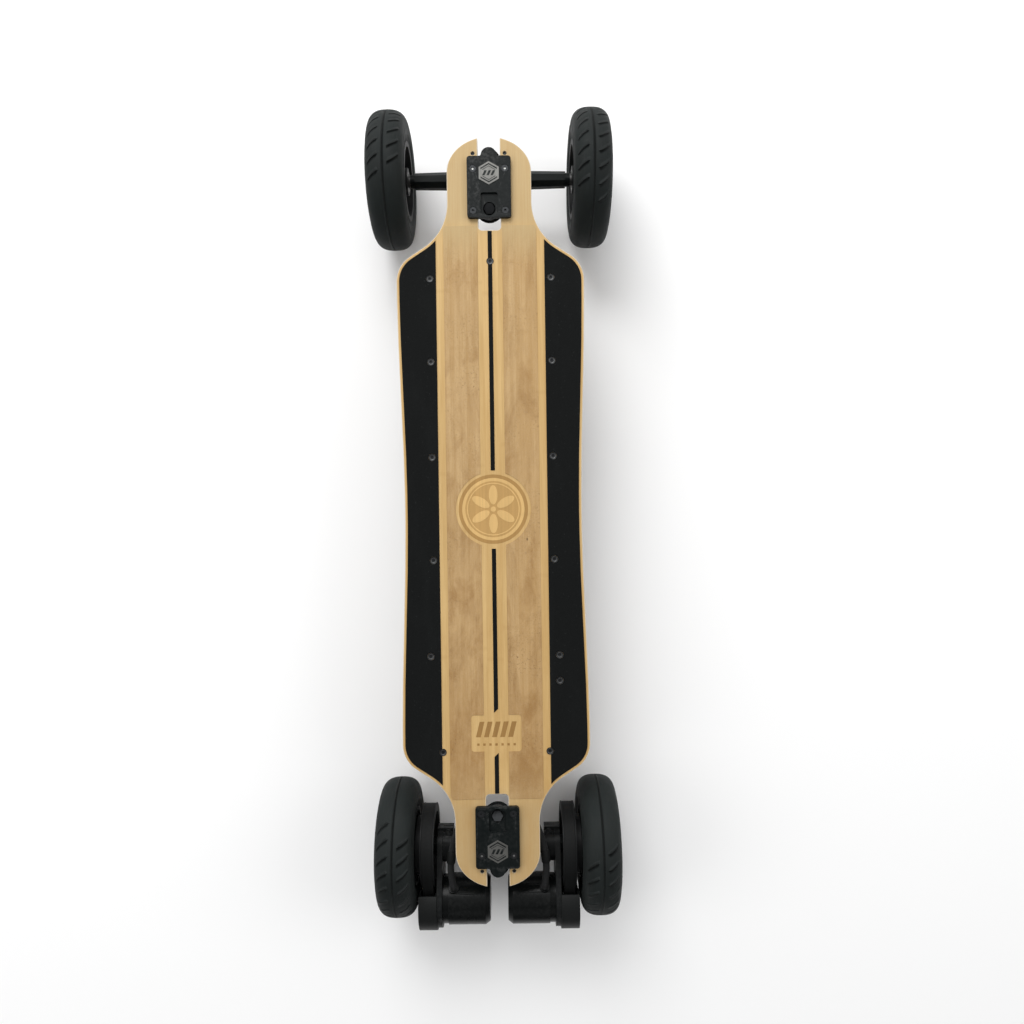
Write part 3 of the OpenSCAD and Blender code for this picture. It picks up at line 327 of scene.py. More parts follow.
def bare_bamboo():
    deck = settings("deck")
    f = Finish("bare_bamboo", Coat_Weight=0.12, Coat_Roughness=0.35, Specular_IOR_Level=0.25)
    body, height, grain = bamboo_pattern(f, deck.bamboo, deck.bamboo_dark)
    body = end_wood(f, body, grain, 0.352, 0.380, 0.80, 0.80)
    smudge = f.ramp(f.streaks(26, 11, 10, 5.0, 0.66), (0.47, 0.0), (0.74, 0.55))
    rear = f.along_deck(0.1, -0.4, 0.30, 1.0)
    body = f.mix(f.times(smudge, rear), body, shade(deck.bamboo_dark, 1.1))
    tilt = f.levelness()
    body = f.mix(f.ramp(tilt, (0.5, 0.78), (0.975, 0.66), (0.995, 0.0)), body, (0.70, 0.62, 0.49, 1))
    f.set("Base Color", f.mix(f.times(plies(f), 0.5), body, shade(deck.bamboo_dark, 0.7)))
    f.set("Roughness", f.ramp(grain, (0.3, 0.50), (0.7, 0.64)))
    f.set("Normal", f.relief(height, 0.00006, 0.6))
    return f.material


def worn_clear_grip():
    """Clear grit sheet on bamboo, with dirt ground into it along the grain."""
    deck = settings("deck")
    f = Finish("worn_clear_grip", Specular_IOR_Level=0.35)
    body, height, grain = bamboo_pattern(f, deck.worn, shade(deck.bamboo_dark, 0.85))
    cloud = f.streaks(26, 9, 10, 6.0, 0.70, 0.6)
    streak = f.streaks(300, 34, 60, 5.0, 0.7)
    dirt = f.times(f.ramp(cloud, (0.44, 0.0), (0.68, 1.0)), f.ramp(streak, (0.34, 0.25), (0.66, 1.0)))
    rear = f.along_deck(0.3, -0.3, 0.50, 1.0)
    body = f.mix(f.times(rear, 0.26), body, shade(deck.stain, 1.45))
    blotch = f.ramp(f.streaks(38, 17, 10, 5.0, 0.62, 0.4), (0.49, 0.0), (0.66, 0.85))
    body = f.mix(f.times(blotch, rear), body, shade(deck.stain, 1.15))
    body = f.mix(f.times(dirt, rear), body, deck.stain)
    scatter = f.ramp(f.streaks(110, 75, 60, 6.0, 0.7), (0.36, 0.25), (0.62, 1.0))
    tail_dirt = f.times(f.along_deck(-0.20, -0.35, 0.0, 0.62), scatter)
    body = f.mix(tail_dirt, body, shade(deck.stain, 1.25))
    mould = f.times(f.ramp(f.noise(330.0, 5.0, 0.72), (0.55, 0.0), (0.66, 1.0)),
                  f.ramp(f.noise(17.0, 4.0, 0.6), (0.46, 0.0), (0.66, 1.0)))
    body = f.mix(f.times(mould, rear), body, shade(deck.stain, 0.55))
    spot = f.ramp(f.cells(62.0, vector=f.stretch(1.0, 0.55, 1.0)), (0.045, 1.0), (0.085, 0.0))
    rare = f.ramp(f.noise(14.0, 1.0), (0.50, 0.0), (0.56, 1.0))
    body = f.mix(f.times(f.times(spot, rare), 0.75), body, shade(deck.stain, 0.35))
    grit = f.cells(1700.0, feature="F1")
    body = f.mix(f.ramp(grit, (0.1, 0.10), (0.5, 0.0)), body, (0.8, 0.76, 0.68, 1))
    body = end_wood(f, body, grain, 0.318, 0.367, 0.92, 0.35)
    f.set("Base Color", body)
    f.set("Roughness", f.ramp(grit, (0.0, 0.55), (0.7, 0.85)))
    f.set("Normal", f.relief(grit, 0.0002, 0.55, f.relief(height, 0.00005, 0.4)))
    return f.material


def engraved_bamboo(name, depth):
    """Bamboo browned by engraving, with the lines left by the tool; a lower depth is browner."""
    deck = settings("deck")
    tint = (deck.engraved[0] * depth, deck.engraved[1] * depth ** 1.2, deck.engraved[2] * depth ** 1.5, 1)
    f = Finish(name, Specular_IOR_Level=0.2)
    body = bamboo_pattern(f, tint, shade(tint, 0.62))[0]
    blocks = f.add("TexWhiteNoise", {"W": f.sum("FLOOR", f.sum("DIVIDE", f.axis("X"), 0.0071))},
                   noise_dimensions="1D")
    body = f.mix(f.times(blocks, 0.22), body, shade(tint, 0.68))
    lines = f.add("TexWave", {"Vector": f.place, "Scale": 260.0, "Distortion": 1.4, "Detail": 2.0},
                  bands_direction="X")
    f.set("Base Color", f.mix(f.times(lines, 0.22), body, shade(tint, 1.25)))
    f.set("Roughness", 0.72)
    f.set("Normal", f.relief(lines, 0.0001, 0.5))
    return f.material


# Tone of each engraved part; lower is browner
ENGRAVED = {"ring": 0.70, "band": 1.17, "ground": 0.87, "marks": 0.56}


def engraved(part):
    return finish(engraved_bamboo, "engraved_" + part, ENGRAVED[part])


def black_grit():
    """Coarse black grip sheet: packed grains, a few of them catching the light, and greyer scuffs."""
    deck = settings("deck")
    f = Finish("black_grit", Specular_IOR_Level=0.13)
    grain = f.cells(1350.0)
    fine = f.noise(2600.0, 2.0, 0.7)
    glint = f.ramp(f.cells(900.0, out=1), (0.90, 0.0), (0.97, 1.0))
    scuff = f.ramp(f.streaks(26, 7, 8, 5.0, 0.62), (0.50, 0.0), (0.80, 1.0))
    body = f.mix(f.times(glint, 0.14), deck.grip, (0.075, 0.08, 0.08, 1))
    body = f.mix(f.times(scuff, 0.16), body, (0.022, 0.024, 0.024, 1))
    f.set("Base Color", body)
    f.set("Roughness", f.ramp(fine, (0.3, 0.72), (0.7, 0.95)))
    f.set("Normal", f.relief(fine, 0.0002, 0.4, f.relief(grain, 0.00035, 0.8)))
    return f.material


def painted_metal(name, paint, roughness, texture, wear):
    """Painted metal: orange peel, a little dust, and paint rubbed thin on the edges."""
    f = Finish(name, Specular_IOR_Level=0.105, Coat_Weight=0.02, Coat_Roughness=0.3)
    peel = f.noise(texture, 2.0, 0.5)
    dust = f.ramp(f.noise(38.0, 5.0, 0.65), (0.50, 0.0), (0.80, 1.0))
    body = f.mix(f.times(dust, 0.055), paint, (0.040, 0.042, 0.041, 1))
    edge = f.ramp(f.add("NewGeometry", out=7), (0.515, 0.0), (0.60, 1.0))
    rubbed = f.times(edge, f.ramp(f.noise(240.0, 4.0, 0.6), (0.42, 0.0), (0.66, 1.0)))
    f.set("Base Color", f.mix(f.times(rubbed, wear), body, (0.085, 0.086, 0.085, 1)))
    f.set("Roughness", f.ramp(f.noise(60.0, 3.0), (0.3, roughness - 0.04), (0.7, roughness + 0.06)))
    f.set("Normal", f.relief(peel, 0.00004, 0.55))
    return f.material


def bare_metal(name, tint, roughness, x, y, z):
    """Bare metal with fine machining marks stretched along one way, and dull patches."""
    f = Finish(name, Metallic=1.0)
    marks = f.streaks(x, y, z, 4.0, 0.6)
    dull = f.ramp(f.noise(70.0, 4.0, 0.6), (0.45, 0.0), (0.75, 1.0))
    body = f.mix(f.times(marks, 0.30), tint, shade(tint, 0.62))
    f.set("Base Color", f.mix(f.times(dull, 0.30), body, shade(tint, 0.45)))
    f.set("Roughness", f.ramp(marks, (0.3, roughness), (0.7, roughness + 0.16)))
    f.set("Normal", f.relief(marks, 0.00003, 0.4))
    return f.material


def moulded_plastic(name, tint, roughness, grain, depth):
    """Moulded plastic with a spark-eroded grain and faint scuffs."""
    f = Finish(name, Specular_IOR_Level=0.20)
    stipple = f.noise(grain, 3.0, 0.6)
    scuff = f.ramp(f.streaks(60, 160, 60, 5.0, 0.7), (0.56, 0.0), (0.78, 1.0))
    f.set("Base Color", f.mix(f.times(scuff, 0.14), tint, shade(tint, 3.0)))
    f.set("Roughness", f.ramp(stipple, (0.3, roughness - 0.05), (0.7, roughness + 0.12)))
    f.set("Normal", f.relief(stipple, depth, 0.6))
    return f.material


def tyre_rubber():
    """Road-worn rubber: grey dust, light scratches and a fine cast skin."""
    wheel = settings("wheels")
    f = Finish("tyre_rubber", Specular_IOR_Level=0.18)
    skin = f.noise(1500.0, 3.0, 0.6)
    dust = f.ramp(f.streaks(45, 30, 30, 6.0, 0.68), (0.42, 0.0), (0.72, 1.0))
    scratch = f.ramp(f.streaks(700, 60, 60, 4.0, 0.7), (0.55, 0.0), (0.75, 1.0))
    body = f.mix(f.times(dust, 0.35), wheel.rubber, shade(wheel.rubber, 2.3))
    body = f.mix(f.times(scratch, 0.12), body, (0.055, 0.056, 0.054, 1))
    f.set("Base Color", body)
    f.set("Roughness", f.ramp(dust, (0.0, 0.62), (1.0, 0.82)))
    f.set("Normal", f.relief(skin, 0.00008, 0.6, f.relief(f.noise(160.0, 3.0), 0.0002, 0.25)))
    return f.material


def cast_urethane(name, tint):
    f = Finish(name, Subsurface_Weight=0.06, Subsurface_Scale=0.002, Specular_IOR_Level=0.4)
    bloom = f.ramp(f.noise(110.0, 4.0, 0.6), (0.4, 0.0), (0.75, 1.0))
    f.set("Base Color", f.mix(f.times(bloom, 0.35), tint, shade(tint, 0.55)))
    f.set("Roughness", f.ramp(bloom, (0.0, 0.34), (1.0, 0.52)))
    f.set("Normal", f.relief(f.noise(700.0, 2.0), 0.00004, 0.5))
    return f.material


def braided_sleeve():
    """Braided sleeve over the motor leads; the braid follows the sleeve's own map."""
    f = Finish("braided_sleeve", Specular_IOR_Level=0.2, Sheen_Weight=0.05)
    chart = f.add("UVMap", uv_map="sleeve")
    u, v = (f.axis(letter, chart) for letter in "XY")
    lanes = []
    for hand in (1, -1):
        turn = f.sum("MULTIPLY_ADD", v, hand * 3.0, u)
        lanes.append(f.sum("ABSOLUTE", f.sum("SINE", f.times(turn, 12 * math.pi))))
    over = f.sum("MAXIMUM", lanes[0], lanes[1])
    weave = f.times(over, f.sum("ADD", 0.6, f.times(lanes[0], 0.4)))
    # Darker in the gaps between the strands: painted shade.
    f.set("Base Color", f.mix(weave, (0.0022, 0.0022, 0.0024, 1), (0.0105, 0.0110, 0.0115, 1)))
    f.set("Roughness", f.ramp(weave, (0.0, 0.85), (1.0, 0.5)))
    f.set("Normal", f.relief(weave, 0.0004, 0.9))
    return f.material


def shrink_wrap():
    """Plain shrink wrap on the cells, with faint creases and painted shade along them."""
    f = Finish("shrink_wrap", Coat_Weight=0.4, Coat_Roughness=0.2)
    crease = f.streaks(30, 500, 500, 4.0, 0.6)
    # The wrap is darker blue along the creases: painted shade in the folds.
    f.set("Base Color", f.mix(f.ramp(crease, (0.45, 0.0), (0.75, 0.5)), (0.05, 0.21, 0.44, 1),
                              (0.02, 0.10, 0.25, 1)))
    f.set("Roughness", f.ramp(crease, (0.3, 0.28), (0.7, 0.42)))
    f.set("Normal", f.relief(crease, 0.0001, 0.4))
    return f.material


def circuit_board(name, mask):
    """Solder mask with copper tracks under it and pale pads."""
    f = Finish(name, Coat_Weight=0.5, Coat_Roughness=0.15)
    lane = f.add("TexBrick", {"Vector": f.place, "Scale": 240.0, "Mortar Size": 0.08, "Color1": (0, 0, 0, 1),
                              "Color2": (0.35, 0.35, 0.35, 1), "Mortar": (1, 1, 1, 1)})
    pads = f.ramp(f.cells(330.0, distance="CHEBYCHEV"), (0.14, 1.0), (0.17, 0.0))
    body = f.mix(lane, mask, shade(mask, 2.4))
    f.set("Base Color", f.mix(f.times(pads, 0.6), body, (0.55, 0.52, 0.42, 1)))
    f.set("Roughness", f.ramp(pads, (0.0, 0.42), (1.0, 0.25)))
    f.set("Normal", f.relief(lane, 0.00008, 0.5))
    return f.material


def copper_winding():
    f = Finish("copper_winding", Metallic=1.0)
    turns = f.add("TexWave", {"Vector": f.place, "Scale": 190.0, "Distortion": 0.8}, bands_direction="Z")
    # Darker copper between the turns of wire: painted shade.
    f.set("Base Color", f.mix(turns, (0.32, 0.10, 0.035, 1), (0.80, 0.34, 0.14, 1)))
    f.set("Roughness", f.ramp(turns, (0.0, 0.5), (1.0, 0.28)))
    f.set("Normal", f.relief(turns, 0.0003, 0.8))
    return f.material


def closed_foam():
    f = Finish("closed_foam", Specular_IOR_Level=0.2)
    pores = f.cells(1100.0)
    # Darker in the pores: painted shade in the pits.
    f.set("Base Color", f.mix(f.ramp(pores, (0.1, 0.0), (0.6, 1.0)), (0.004, 0.004, 0.004, 1),
                              (0.018, 0.018, 0.018, 1)))
    f.set("Roughness", f.ramp(pores, (0.0, 0.95), (0.6, 0.8)))
    f.set("Normal", f.relief(pores, 0.0003, 0.7))
    return f.material


def truck_paint():
    return painted_metal("truck_powder_coat", settings("metal").truck_paint, 0.42, 900.0, 0.35)


def mount_paint():
    return painted_metal("mount_anodising", (0.0070, 0.0078, 0.0080, 1), 0.42, 1400.0, 0.30)


def can_paint():
    return painted_metal("motor_gloss_paint", settings("metal").can_paint, 0.28, 500.0, 0.25)


def steel():
    return bare_metal("turned_steel", settings("metal").steel, 0.30, 1500.0, 60.0, 60.0)


def black_steel():
    return bare_metal("blackened_steel", (0.040, 0.042, 0.044, 1), 0.42, 300.0, 300.0, 300.0)


def oiled_steel():
    return bare_metal("oiled_steel", (0.11, 0.11, 0.108, 1), 0.36, 700.0, 90.0, 90.0)


def badge_metal():
    return bare_metal("brushed_badge", settings("metal").badge, 0.48, 1200.0, 30.0, 60.0)


def rim_plastic():
    return moulded_plastic("glass_filled_nylon", settings("wheels").rim, 0.52, 1100.0, 0.00006)


def case_plastic():
    return moulded_plastic("stippled_case", (0.013, 0.014, 0.015, 1), 0.60, 1500.0, 0.00014)


def cover_plastic():
    return moulded_plastic("belt_cover_plastic", (0.0058, 0.0066, 0.0066, 1), 0.46, 1700.0, 0.00008)


def fitting_plastic():
    return moulded_plastic("fitting_plastic", (0.009, 0.009, 0.010, 1), 0.44, 1800.0, 0.00005)


def holder_plastic():
    return moulded_plastic("cell_holder_plastic", (0.55, 0.52, 0.44, 1), 0.55, 1300.0, 0.00006)


def soft_rubber():
    return moulded_plastic("soft_rubber", (0.0042, 0.0047, 0.0047, 1), 0.66, 900.0, 0.00008)


# ---------- mesh helpers ----------


def added_verts(result):
    return [item for item in result["geom"] if isinstance(item, bmesh.types.BMVert)]


def lathe(bm, outline, steps, closed=False):
    """Spins an outline of (radius, height) points a full turn round Z."""
    verts = [bm.verts.new((r, 0.0, z)) for r, z in outline]
    edges = [bm.edges.new(pair) for pair in zip(verts, verts[1:])]
    if closed:
        edges.append(bm.edges.new((verts[-1], verts[0])))
    bmesh.ops.spin(bm, geom=verts + edges, cent=(0, 0, 0), axis=(0, 0, 1), dvec=(0, 0, 0), angle=TURN,
                   steps=steps, use_merge=True, use_normal_flip=False, use_duplicate=False)
    bmesh.ops.remove_doubles(bm, verts=bm.verts, dist=1e-7)


def slab(bm, corners, low, high):
    """A plate on a few corners, extruded from low to high. Returns its vertices."""
    face = bm.faces.new([bm.verts.new((x, y, low)) for x, y in corners])
    top = added_verts(bmesh.ops.extrude_face_region(bm, geom=[face]))
    bmesh.ops.translate(bm, verts=top, vec=(0, 0, high - low))
    return list(face.verts) + top


def disc(bm, radius, low, high, segments=48, matrix=Matrix.Identity(4)):
    """A flat disc or polygon, extruded from low to high."""
    made = bmesh.ops.create_circle(bm, cap_ends=True, radius=radius, segments=segments,
                                   matrix=matrix @ Matrix.Translation((0, 0, low)))
    face = made["verts"][0].link_faces[0]
    top = added_verts(bmesh.ops.extrude_face_region(bm, geom=[face]))
    bmesh.ops.translate(bm, verts=top, vec=matrix.to_3x3() @ Vector((0, 0, high - low)))
    return made["verts"] + top


def bar(bm, x, y, wide, reach, lean, low, high):
    """A leaning bar round (x, y), given its half width, half length and half lean. Returns its vertices."""
    return slab(bm, [(x - wide - lean, y - reach), (x + wide - lean, y - reach), (x + wide + lean, y + reach),
                     (x - wide + lean, y + reach)], low, high)


def hoop(bm, inner, outer, low, high):
    """A ring of square section round Z."""
    lathe(bm, [(inner, low), (inner, high), (outer, high), (outer, low)], ROUND, closed=True)


def rounded(bm, edges, radius, segments=5):
    bmesh.ops.bevel(bm, geom=edges, offset=radius, offset_type="OFFSET", affect="EDGES", segments=segments,
                    profile=0.5, material=-1, clamp_overlap=True)


def upright(verts):
    """Edges along Z between these vertices."""
    edges = {edge for vert in verts for edge in vert.link_edges}
    return [e for e in edges if abs(e.verts[0].co.z - e.verts[1].co.z) > 1e-6
            and (e.verts[0].co - e.verts[1].co).xy.length < 1e-7]


def piece(name, bm, material, body, nodes=(), edge=0.0, segments=2, limit=34.0, tidy=True, place=None,
          weigh=False):
    """Turns a bmesh into a finished object that rides on a body."""
    if place is not None:
        bmesh.ops.transform(bm, matrix=place, verts=bm.verts)
    if tidy:
        bmesh.ops.recalc_face_normals(bm, faces=bm.faces)
    mesh = bpy.data.meshes.new(name)
    bm.to_mesh(mesh)
    bm.free()
    made = bpy.data.objects.new(name, mesh)
    bpy.context.scene.collection.objects.link(made)
    for one in material if isinstance(material, (list, tuple)) else [material]:
        mesh.materials.append(one)
    mesh.shade_smooth()
    mesh.set_sharp_from_angle(angle=math.radians(limit))
    if edge:
        bevel = made.modifiers.new("edges", "BEVEL")
        bevel.width = edge
        bevel.segments = segments
        bevel.limit_method = "ANGLE"
        bevel.angle_limit = math.radians(limit)
        bevel.harden_normals = True
        bevel.use_clamp_overlap = True
    if weigh:
        weight = made.modifiers.new("flat_faces", "WEIGHTED_NORMAL")
        weight.keep_sharp = True
    if body:
        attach(made, body)
    if nodes:
        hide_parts(*nodes)
    return made


def merged(node):
    """A copy of a CAD node's mesh with its loose triangles merged into faces."""
    bm = bmesh.new()
    bm.from_mesh(NODES[node].data)
    bmesh.ops.remove_doubles(bm, verts=bm.verts, dist=3e-6)
    bmesh.ops.dissolve_limit(bm, angle_limit=math.radians(0.5), verts=bm.verts, edges=bm.edges)
    return bm


def refined(node, material, edge=0.4 * MM, segments=2, limit=34.0, bm=None, weigh=False):
    """A piece with the CAD node's shape, its edges rounded; it stands for the node."""
    source = NODES[node]
    return piece(node + "_fine", bm or merged(node), material, source["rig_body"],
                 [node], edge, segments, limit, tidy=False, weigh=weigh)


def repaint(node, material):
    """A CAD node that keeps its own mesh and gets a better finish."""
    NODES[node].data.materials[0] = material


# ---------- deck ----------

SPARE_HOLES = [(side * 20.65 * MM, 463.4 * MM) for side in (-1, 1)]


def outline_edges(bm):
    """Edges round the deck's outer rim, top and bottom: the longest loops between wall and face."""
    rim = [e for e in bm.edges if len(e.link_faces) == 2 and e.calc_face_angle(0) > 1.0]
    left, groups = set(rim), []
    while left:
        group, heads = set(), [left.pop()]
        while heads:
            edge = heads.pop()
            group.add(edge)
            for vert in edge.verts:
                for other in vert.link_edges:
                    if other in left:
                        left.discard(other)
                        heads.append(other)
        groups.append(group)
    long_side = [g for g in groups if max(v.co.y for e in g for v in e.verts)
                 - min(v.co.y for e in g for v in e.verts) > 0.5]
    return [e for g in long_side for e in g if abs(e.verts[0].co.z - e.verts[1].co.z) < 1e-6]


class SKATEBOARD_OT_deck(Operator):
    """Rounds the bamboo deck's rim"""

    bl_idname = "skateboard.deck"
    bl_label = "Deck"

    def execute(self, context):
        bm = merged("deck")
        rounded(bm, outline_edges(bm), context.scene.skateboard_deck.edge_round, 4)
        refined("deck", finish(bare_bamboo), 0.25 * MM, 1, 50.0, bm, True)
        bm = bmesh.new()
        for x, y in SPARE_HOLES:
            for hand in (1, -1):
                disc(bm, 2.65 * MM, DECK_TOP - 9 * MM, DECK_TOP - 2.5 * MM, 24,
                     Matrix.Translation((x, hand * y, 0)))
        piece("hole_inserts", bm, finish(black_steel), "board", edge=0.2 * MM, place=BOARD)
        return {"FINISHED"}


class SKATEBOARD_OT_grip(Operator):
    """Black grit at the sides and centre, clear grit between them"""

    bl_idname = "skateboard.grip"
    bl_label = "Grip"

    def execute(self, context):
        for side in SIDES:
            refined("side_grip_" + side, finish(black_grit), 0.15 * MM, 1)
        refined("centre_strips", finish(black_grit), 0.12 * MM, 1)
        refined("clear_grip_panels", finish(worn_clear_grip), 0.12 * MM, 1)
        return {"FINISHED"}


class SKATEBOARD_OT_emblem(Operator):
    """Engraved ring and rosette at the deck's middle, and hatch marks near its tail"""

    bl_idname = "skateboard.emblem"
    bl_label = "Emblem and patch"

    def execute(self, context):
        deck = context.scene.skateboard_deck
        base, level, proud = DECK_TOP + 0.01 * MM, DECK_TOP + 0.10 * MM, DECK_TOP + 0.30 * MM
        centre = BOARD @ Matrix.Translation((0, deck.emblem_offset, 0))
        outer = deck.emblem_ring
        band, ground, border = outer - 4.6 * MM, 36.2 * MM, (32.6 * MM, 34.0 * MM)
        bm = bmesh.new()
        lathe(bm, [(outer - 4.5 * MM, base), (outer - 4.4 * MM, level), (outer - 0.1 * MM, level),
                   (outer, base)], ROUND, closed=True)
        piece("emblem_ring", bm, engraved("ring"), "board", place=centre)
        bm = bmesh.new()
        hoop(bm, ground + 0.1 * MM, band, base, level)
        piece("emblem_band", bm, engraved("band"), "board", place=centre)
        bm = bmesh.new()
        disc(bm, ground, base, level, ROUND)
        piece("emblem_ground", bm, engraved("ground"), "board", place=centre)
        bm = bmesh.new()
        hoop(bm, *border, base, proud)
        piece("emblem_border", bm, engraved("band"), "board", place=centre)
        bm = bmesh.new()
        petal = bmesh.ops.create_circle(bm, cap_ends=True, radius=1.0, segments=28,
                                        matrix=Matrix.Translation((0, 18.5 * MM, base))
                                        @ Matrix.Diagonal((5.6 * MM, 12.5 * MM, 1, 1)))["verts"]
        top = added_verts(bmesh.ops.extrude_face_region(bm, geom=[petal[0].link_faces[0]]))
        bmesh.ops.translate(bm, verts=top, vec=(0, 0, proud - base))
        bmesh.ops.spin(bm, geom=bm.verts[:] + bm.edges[:] + bm.faces[:], cent=(0, 0, 0), axis=(0, 0, 1),
                       dvec=(0, 0, 0), angle=TURN, steps=deck.petals, use_merge=False,
                       use_normal_flip=False, use_duplicate=True)
        bmesh.ops.remove_doubles(bm, verts=bm.verts, dist=1e-6)
        disc(bm, 3.4 * MM, base, proud, 32)
        piece("emblem_rosette", bm, engraved("band"), "board", place=centre)
        patch = BOARD @ Matrix.Translation((0, -deck.patch_offset, 0))
        bm = bmesh.new()
        for step in range(-2, 3):
            bar(bm, step * 10.4 * MM, 5 * MM, 3.1 * MM, 10 * MM, 2.5 * MM, base, level)
        for step in range(-3, 4):
            bar(bm, step * 7.8 * MM, -14.5 * MM, 1.5 * MM, 1.5 * MM, 0.0, base, level)
        piece("patch_marks", bm, engraved("marks"), "board", place=patch)
        return {"FINISHED"}


# ---------- battery case ----------


# Sections of a case bolt's black cup and of its worn rim, (radius, height over the deck) in millimetres
BOLT_CUP = [(3.5, -0.2), (3.5, 0.45), (4.5, 0.78), (4.62, 0.6), (4.62, -0.2)]
BOLT_RIM = [(2.6, -0.1), (2.6, 0.20), (2.95, 0.45), (3.35, 0.48), (3.7, 0.25), (3.7, -0.1)]


def rings(bm, outline, middles):
    """The same lathed ring at each of these places on the deck."""
    lathe(bm, [(r * MM, z * MM) for r, z in outline], 40, closed=True)
    first = bm.verts[:] + bm.edges[:] + bm.faces[:]
    for middle in middles[1:]:
        copy = added_verts(bmesh.ops.duplicate(bm, geom=first))
        bmesh.ops.translate(bm, verts=copy, vec=(middle.x, middle.y, DECK_TOP))
    bmesh.ops.translate(bm, verts=added_verts({"geom": first}), vec=(middles[0].x, middles[0].y, DECK_TOP))


class SKATEBOARD_OT_case(Operator):
    """Battery case with its ribs, gasket, bolts and fittings"""

    bl_idname = "skateboard.case"
    bl_label = "Battery case"

    def execute(self, context):
        refined("case_shell", finish(case_plastic), 0.9 * MM, 3, 24.0)
        refined("case_gasket", finish(closed_foam), 0.3 * MM, 1)
        refined("case_bolts", finish(black_steel), 0.2 * MM, 1)
        bolts, middles = merged("case_bolts"), []
        for part in loose_parts(bolts):
            top = max(v.co.z for v in part)
            if top > DECK_TOP - 1 * MM:
                head = [v.co for v in part if v.co.z > top - 1e-5]
                middles.append(sum(head, Vector()) / len(head))
        bolts.free()
        for name, outline, material in (("bolt_cups", BOLT_CUP, finish(black_steel)),
                                        ("bolt_rims", BOLT_RIM, finish(oiled_steel))):
            bm = bmesh.new()
            rings(bm, outline, middles)
            piece(name, bm, material, "board")
        refined("cable_glands", finish(fitting_plastic), 0.35 * MM)
        refined("charge_socket", finish(fitting_plastic), 0.3 * MM)
        refined("power_button", finish(steel), 0.4 * MM)
        refined("charge_cap", finish(soft_rubber), 0.5 * MM)
        bm = bmesh.new()
        for step in range(-2, 3):
            x, reach = step * 24 * MM, (236 if step % 2 else 250) * MM
            verts = bar(bm, x, 0.0, 3 * MM, reach, 0.0, CASE_FLOOR - 1.3 * MM, CASE_FLOOR + 0.5 * MM)
            rounded(bm, upright(verts), 2.9 * MM, 5)
        piece("case_ribs", bm, finish(case_plastic), "board", edge=0.5 * MM,
              limit=50.0, place=Matrix.Translation((0, middle_of("case_shell").y, 0)))
        return {"FINISHED"}


class SKATEBOARD_OT_battery(Operator):
    """Finishes for the cells, their holders and the electronics inside the case"""

    bl_idname = "skateboard.battery"
    bl_label = "Battery"

    def execute(self, context):
        repaint("battery_cells", finish(shrink_wrap))
        repaint("cell_holders", finish(holder_plastic))
        repaint("battery_board", finish(circuit_board, "battery_solder_mask", (0.006, 0.085, 0.025, 1)))
        repaint("speed_controller", finish(circuit_board, "controller_solder_mask", (0.010, 0.020, 0.055, 1)))
        return {"FINISHED"}


# ---------- trucks ----------

ROLL_SLOPE = math.radians(23.25)
RING_HALF = 4.5 * MM
# Middle of each yoke or hanger ring on its kingpin, (ahead of the deck's middle, height)
SEATS = {"inner": (406.823 * MM, 125.013 * MM), "outer": (479 * MM, 103 * MM)}
UPPER = {"inner": 12 * MM, "outer": 10 * MM}
LOWER = 10 * MM
BUSHING = 12 * MM
PIN = 5.15 * MM


def on_pin(end, stage):
    """Frame with Z along that kingpin and its origin in the middle of the ring."""
    y, z = SEATS[stage]
    return TRUCK[end] @ Matrix.Translation((0, y, z)) @ Matrix.Rotation(ROLL_SLOPE, 4, "X")


# Middle of the two outboard truck bolts, (across, ahead of the deck's middle)
BOLT_ENDS = [(side * 20.65 * MM, 441.4 * MM) for side in (-1, 1)]


def chevron(bm, hand, half, peak, bold, low, high):
    """A raised chevron with the slope of the badge's own edges; its point is at the peak."""
    drop = half * math.tan(math.radians(30))
    points = [(-half, peak - drop), (0, peak), (half, peak - drop), (half, peak - drop - bold),
              (0, peak - bold), (-half, peak - drop - bold)]
    slab(bm, [(x, hand * y) for x, y in points], low, high)


class SKATEBOARD_OT_baseplates(Operator):
    """Baseplates, their bolts and the hexagonal badges"""

    bl_idname = "skateboard.baseplates"
    bl_label = "Baseplates"

    def execute(self, context):
        near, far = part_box("baseplate_badges")
        top, across = near.z, far.x / math.cos(math.radians(30))
        for end in ENDS:
            refined(end + "_baseplate", finish(truck_paint), 0.8 * MM, 3, 30.0)
            place = Matrix.Translation((0, far.y - across if end == "front" else near.y + across, top))
            if end == "rear":
                place = place @ Matrix.Rotation(math.pi, 4, "Z")
            bm = bmesh.new()
            disc(bm, across, 0.0, 0.62 * MM, 6)
            piece("badge_" + end, bm, finish(badge_metal), "board",
                  ["baseplate_badges"], 0.12 * MM, 1, 30.0, place=place)
            bm = bmesh.new()
            low, high = 0.4 * MM, 0.68 * MM
            for hand in (1, -1):
                for reach, peak, bold in ((10.6, 12.6, 1.9), (8.6, 9.2, 0.8)):
                    chevron(bm, hand, reach * MM, peak * MM, bold * MM, low, high)
            for step in (-1, 0, 1):
                bar(bm, step * 5.4 * MM, 0.0, 1.6 * MM, 3.2 * MM, 1.5 * MM, low, high)
            piece("badge_marks_" + end, bm, finish(truck_paint), "board", place=place)
            bm = bmesh.new()
            for x, y in BOLT_ENDS:
                disc(bm, 1.7 * MM, top - 2.3 * MM, top - 1.4 * MM, 24, Matrix.Translation((x, y, 0)))
            piece("bolt_ends_" + end, bm, finish(steel), "board", place=TRUCK[end])
        refined("truck_bolts", finish(black_steel), 0.25 * MM)
        return {"FINISHED"}


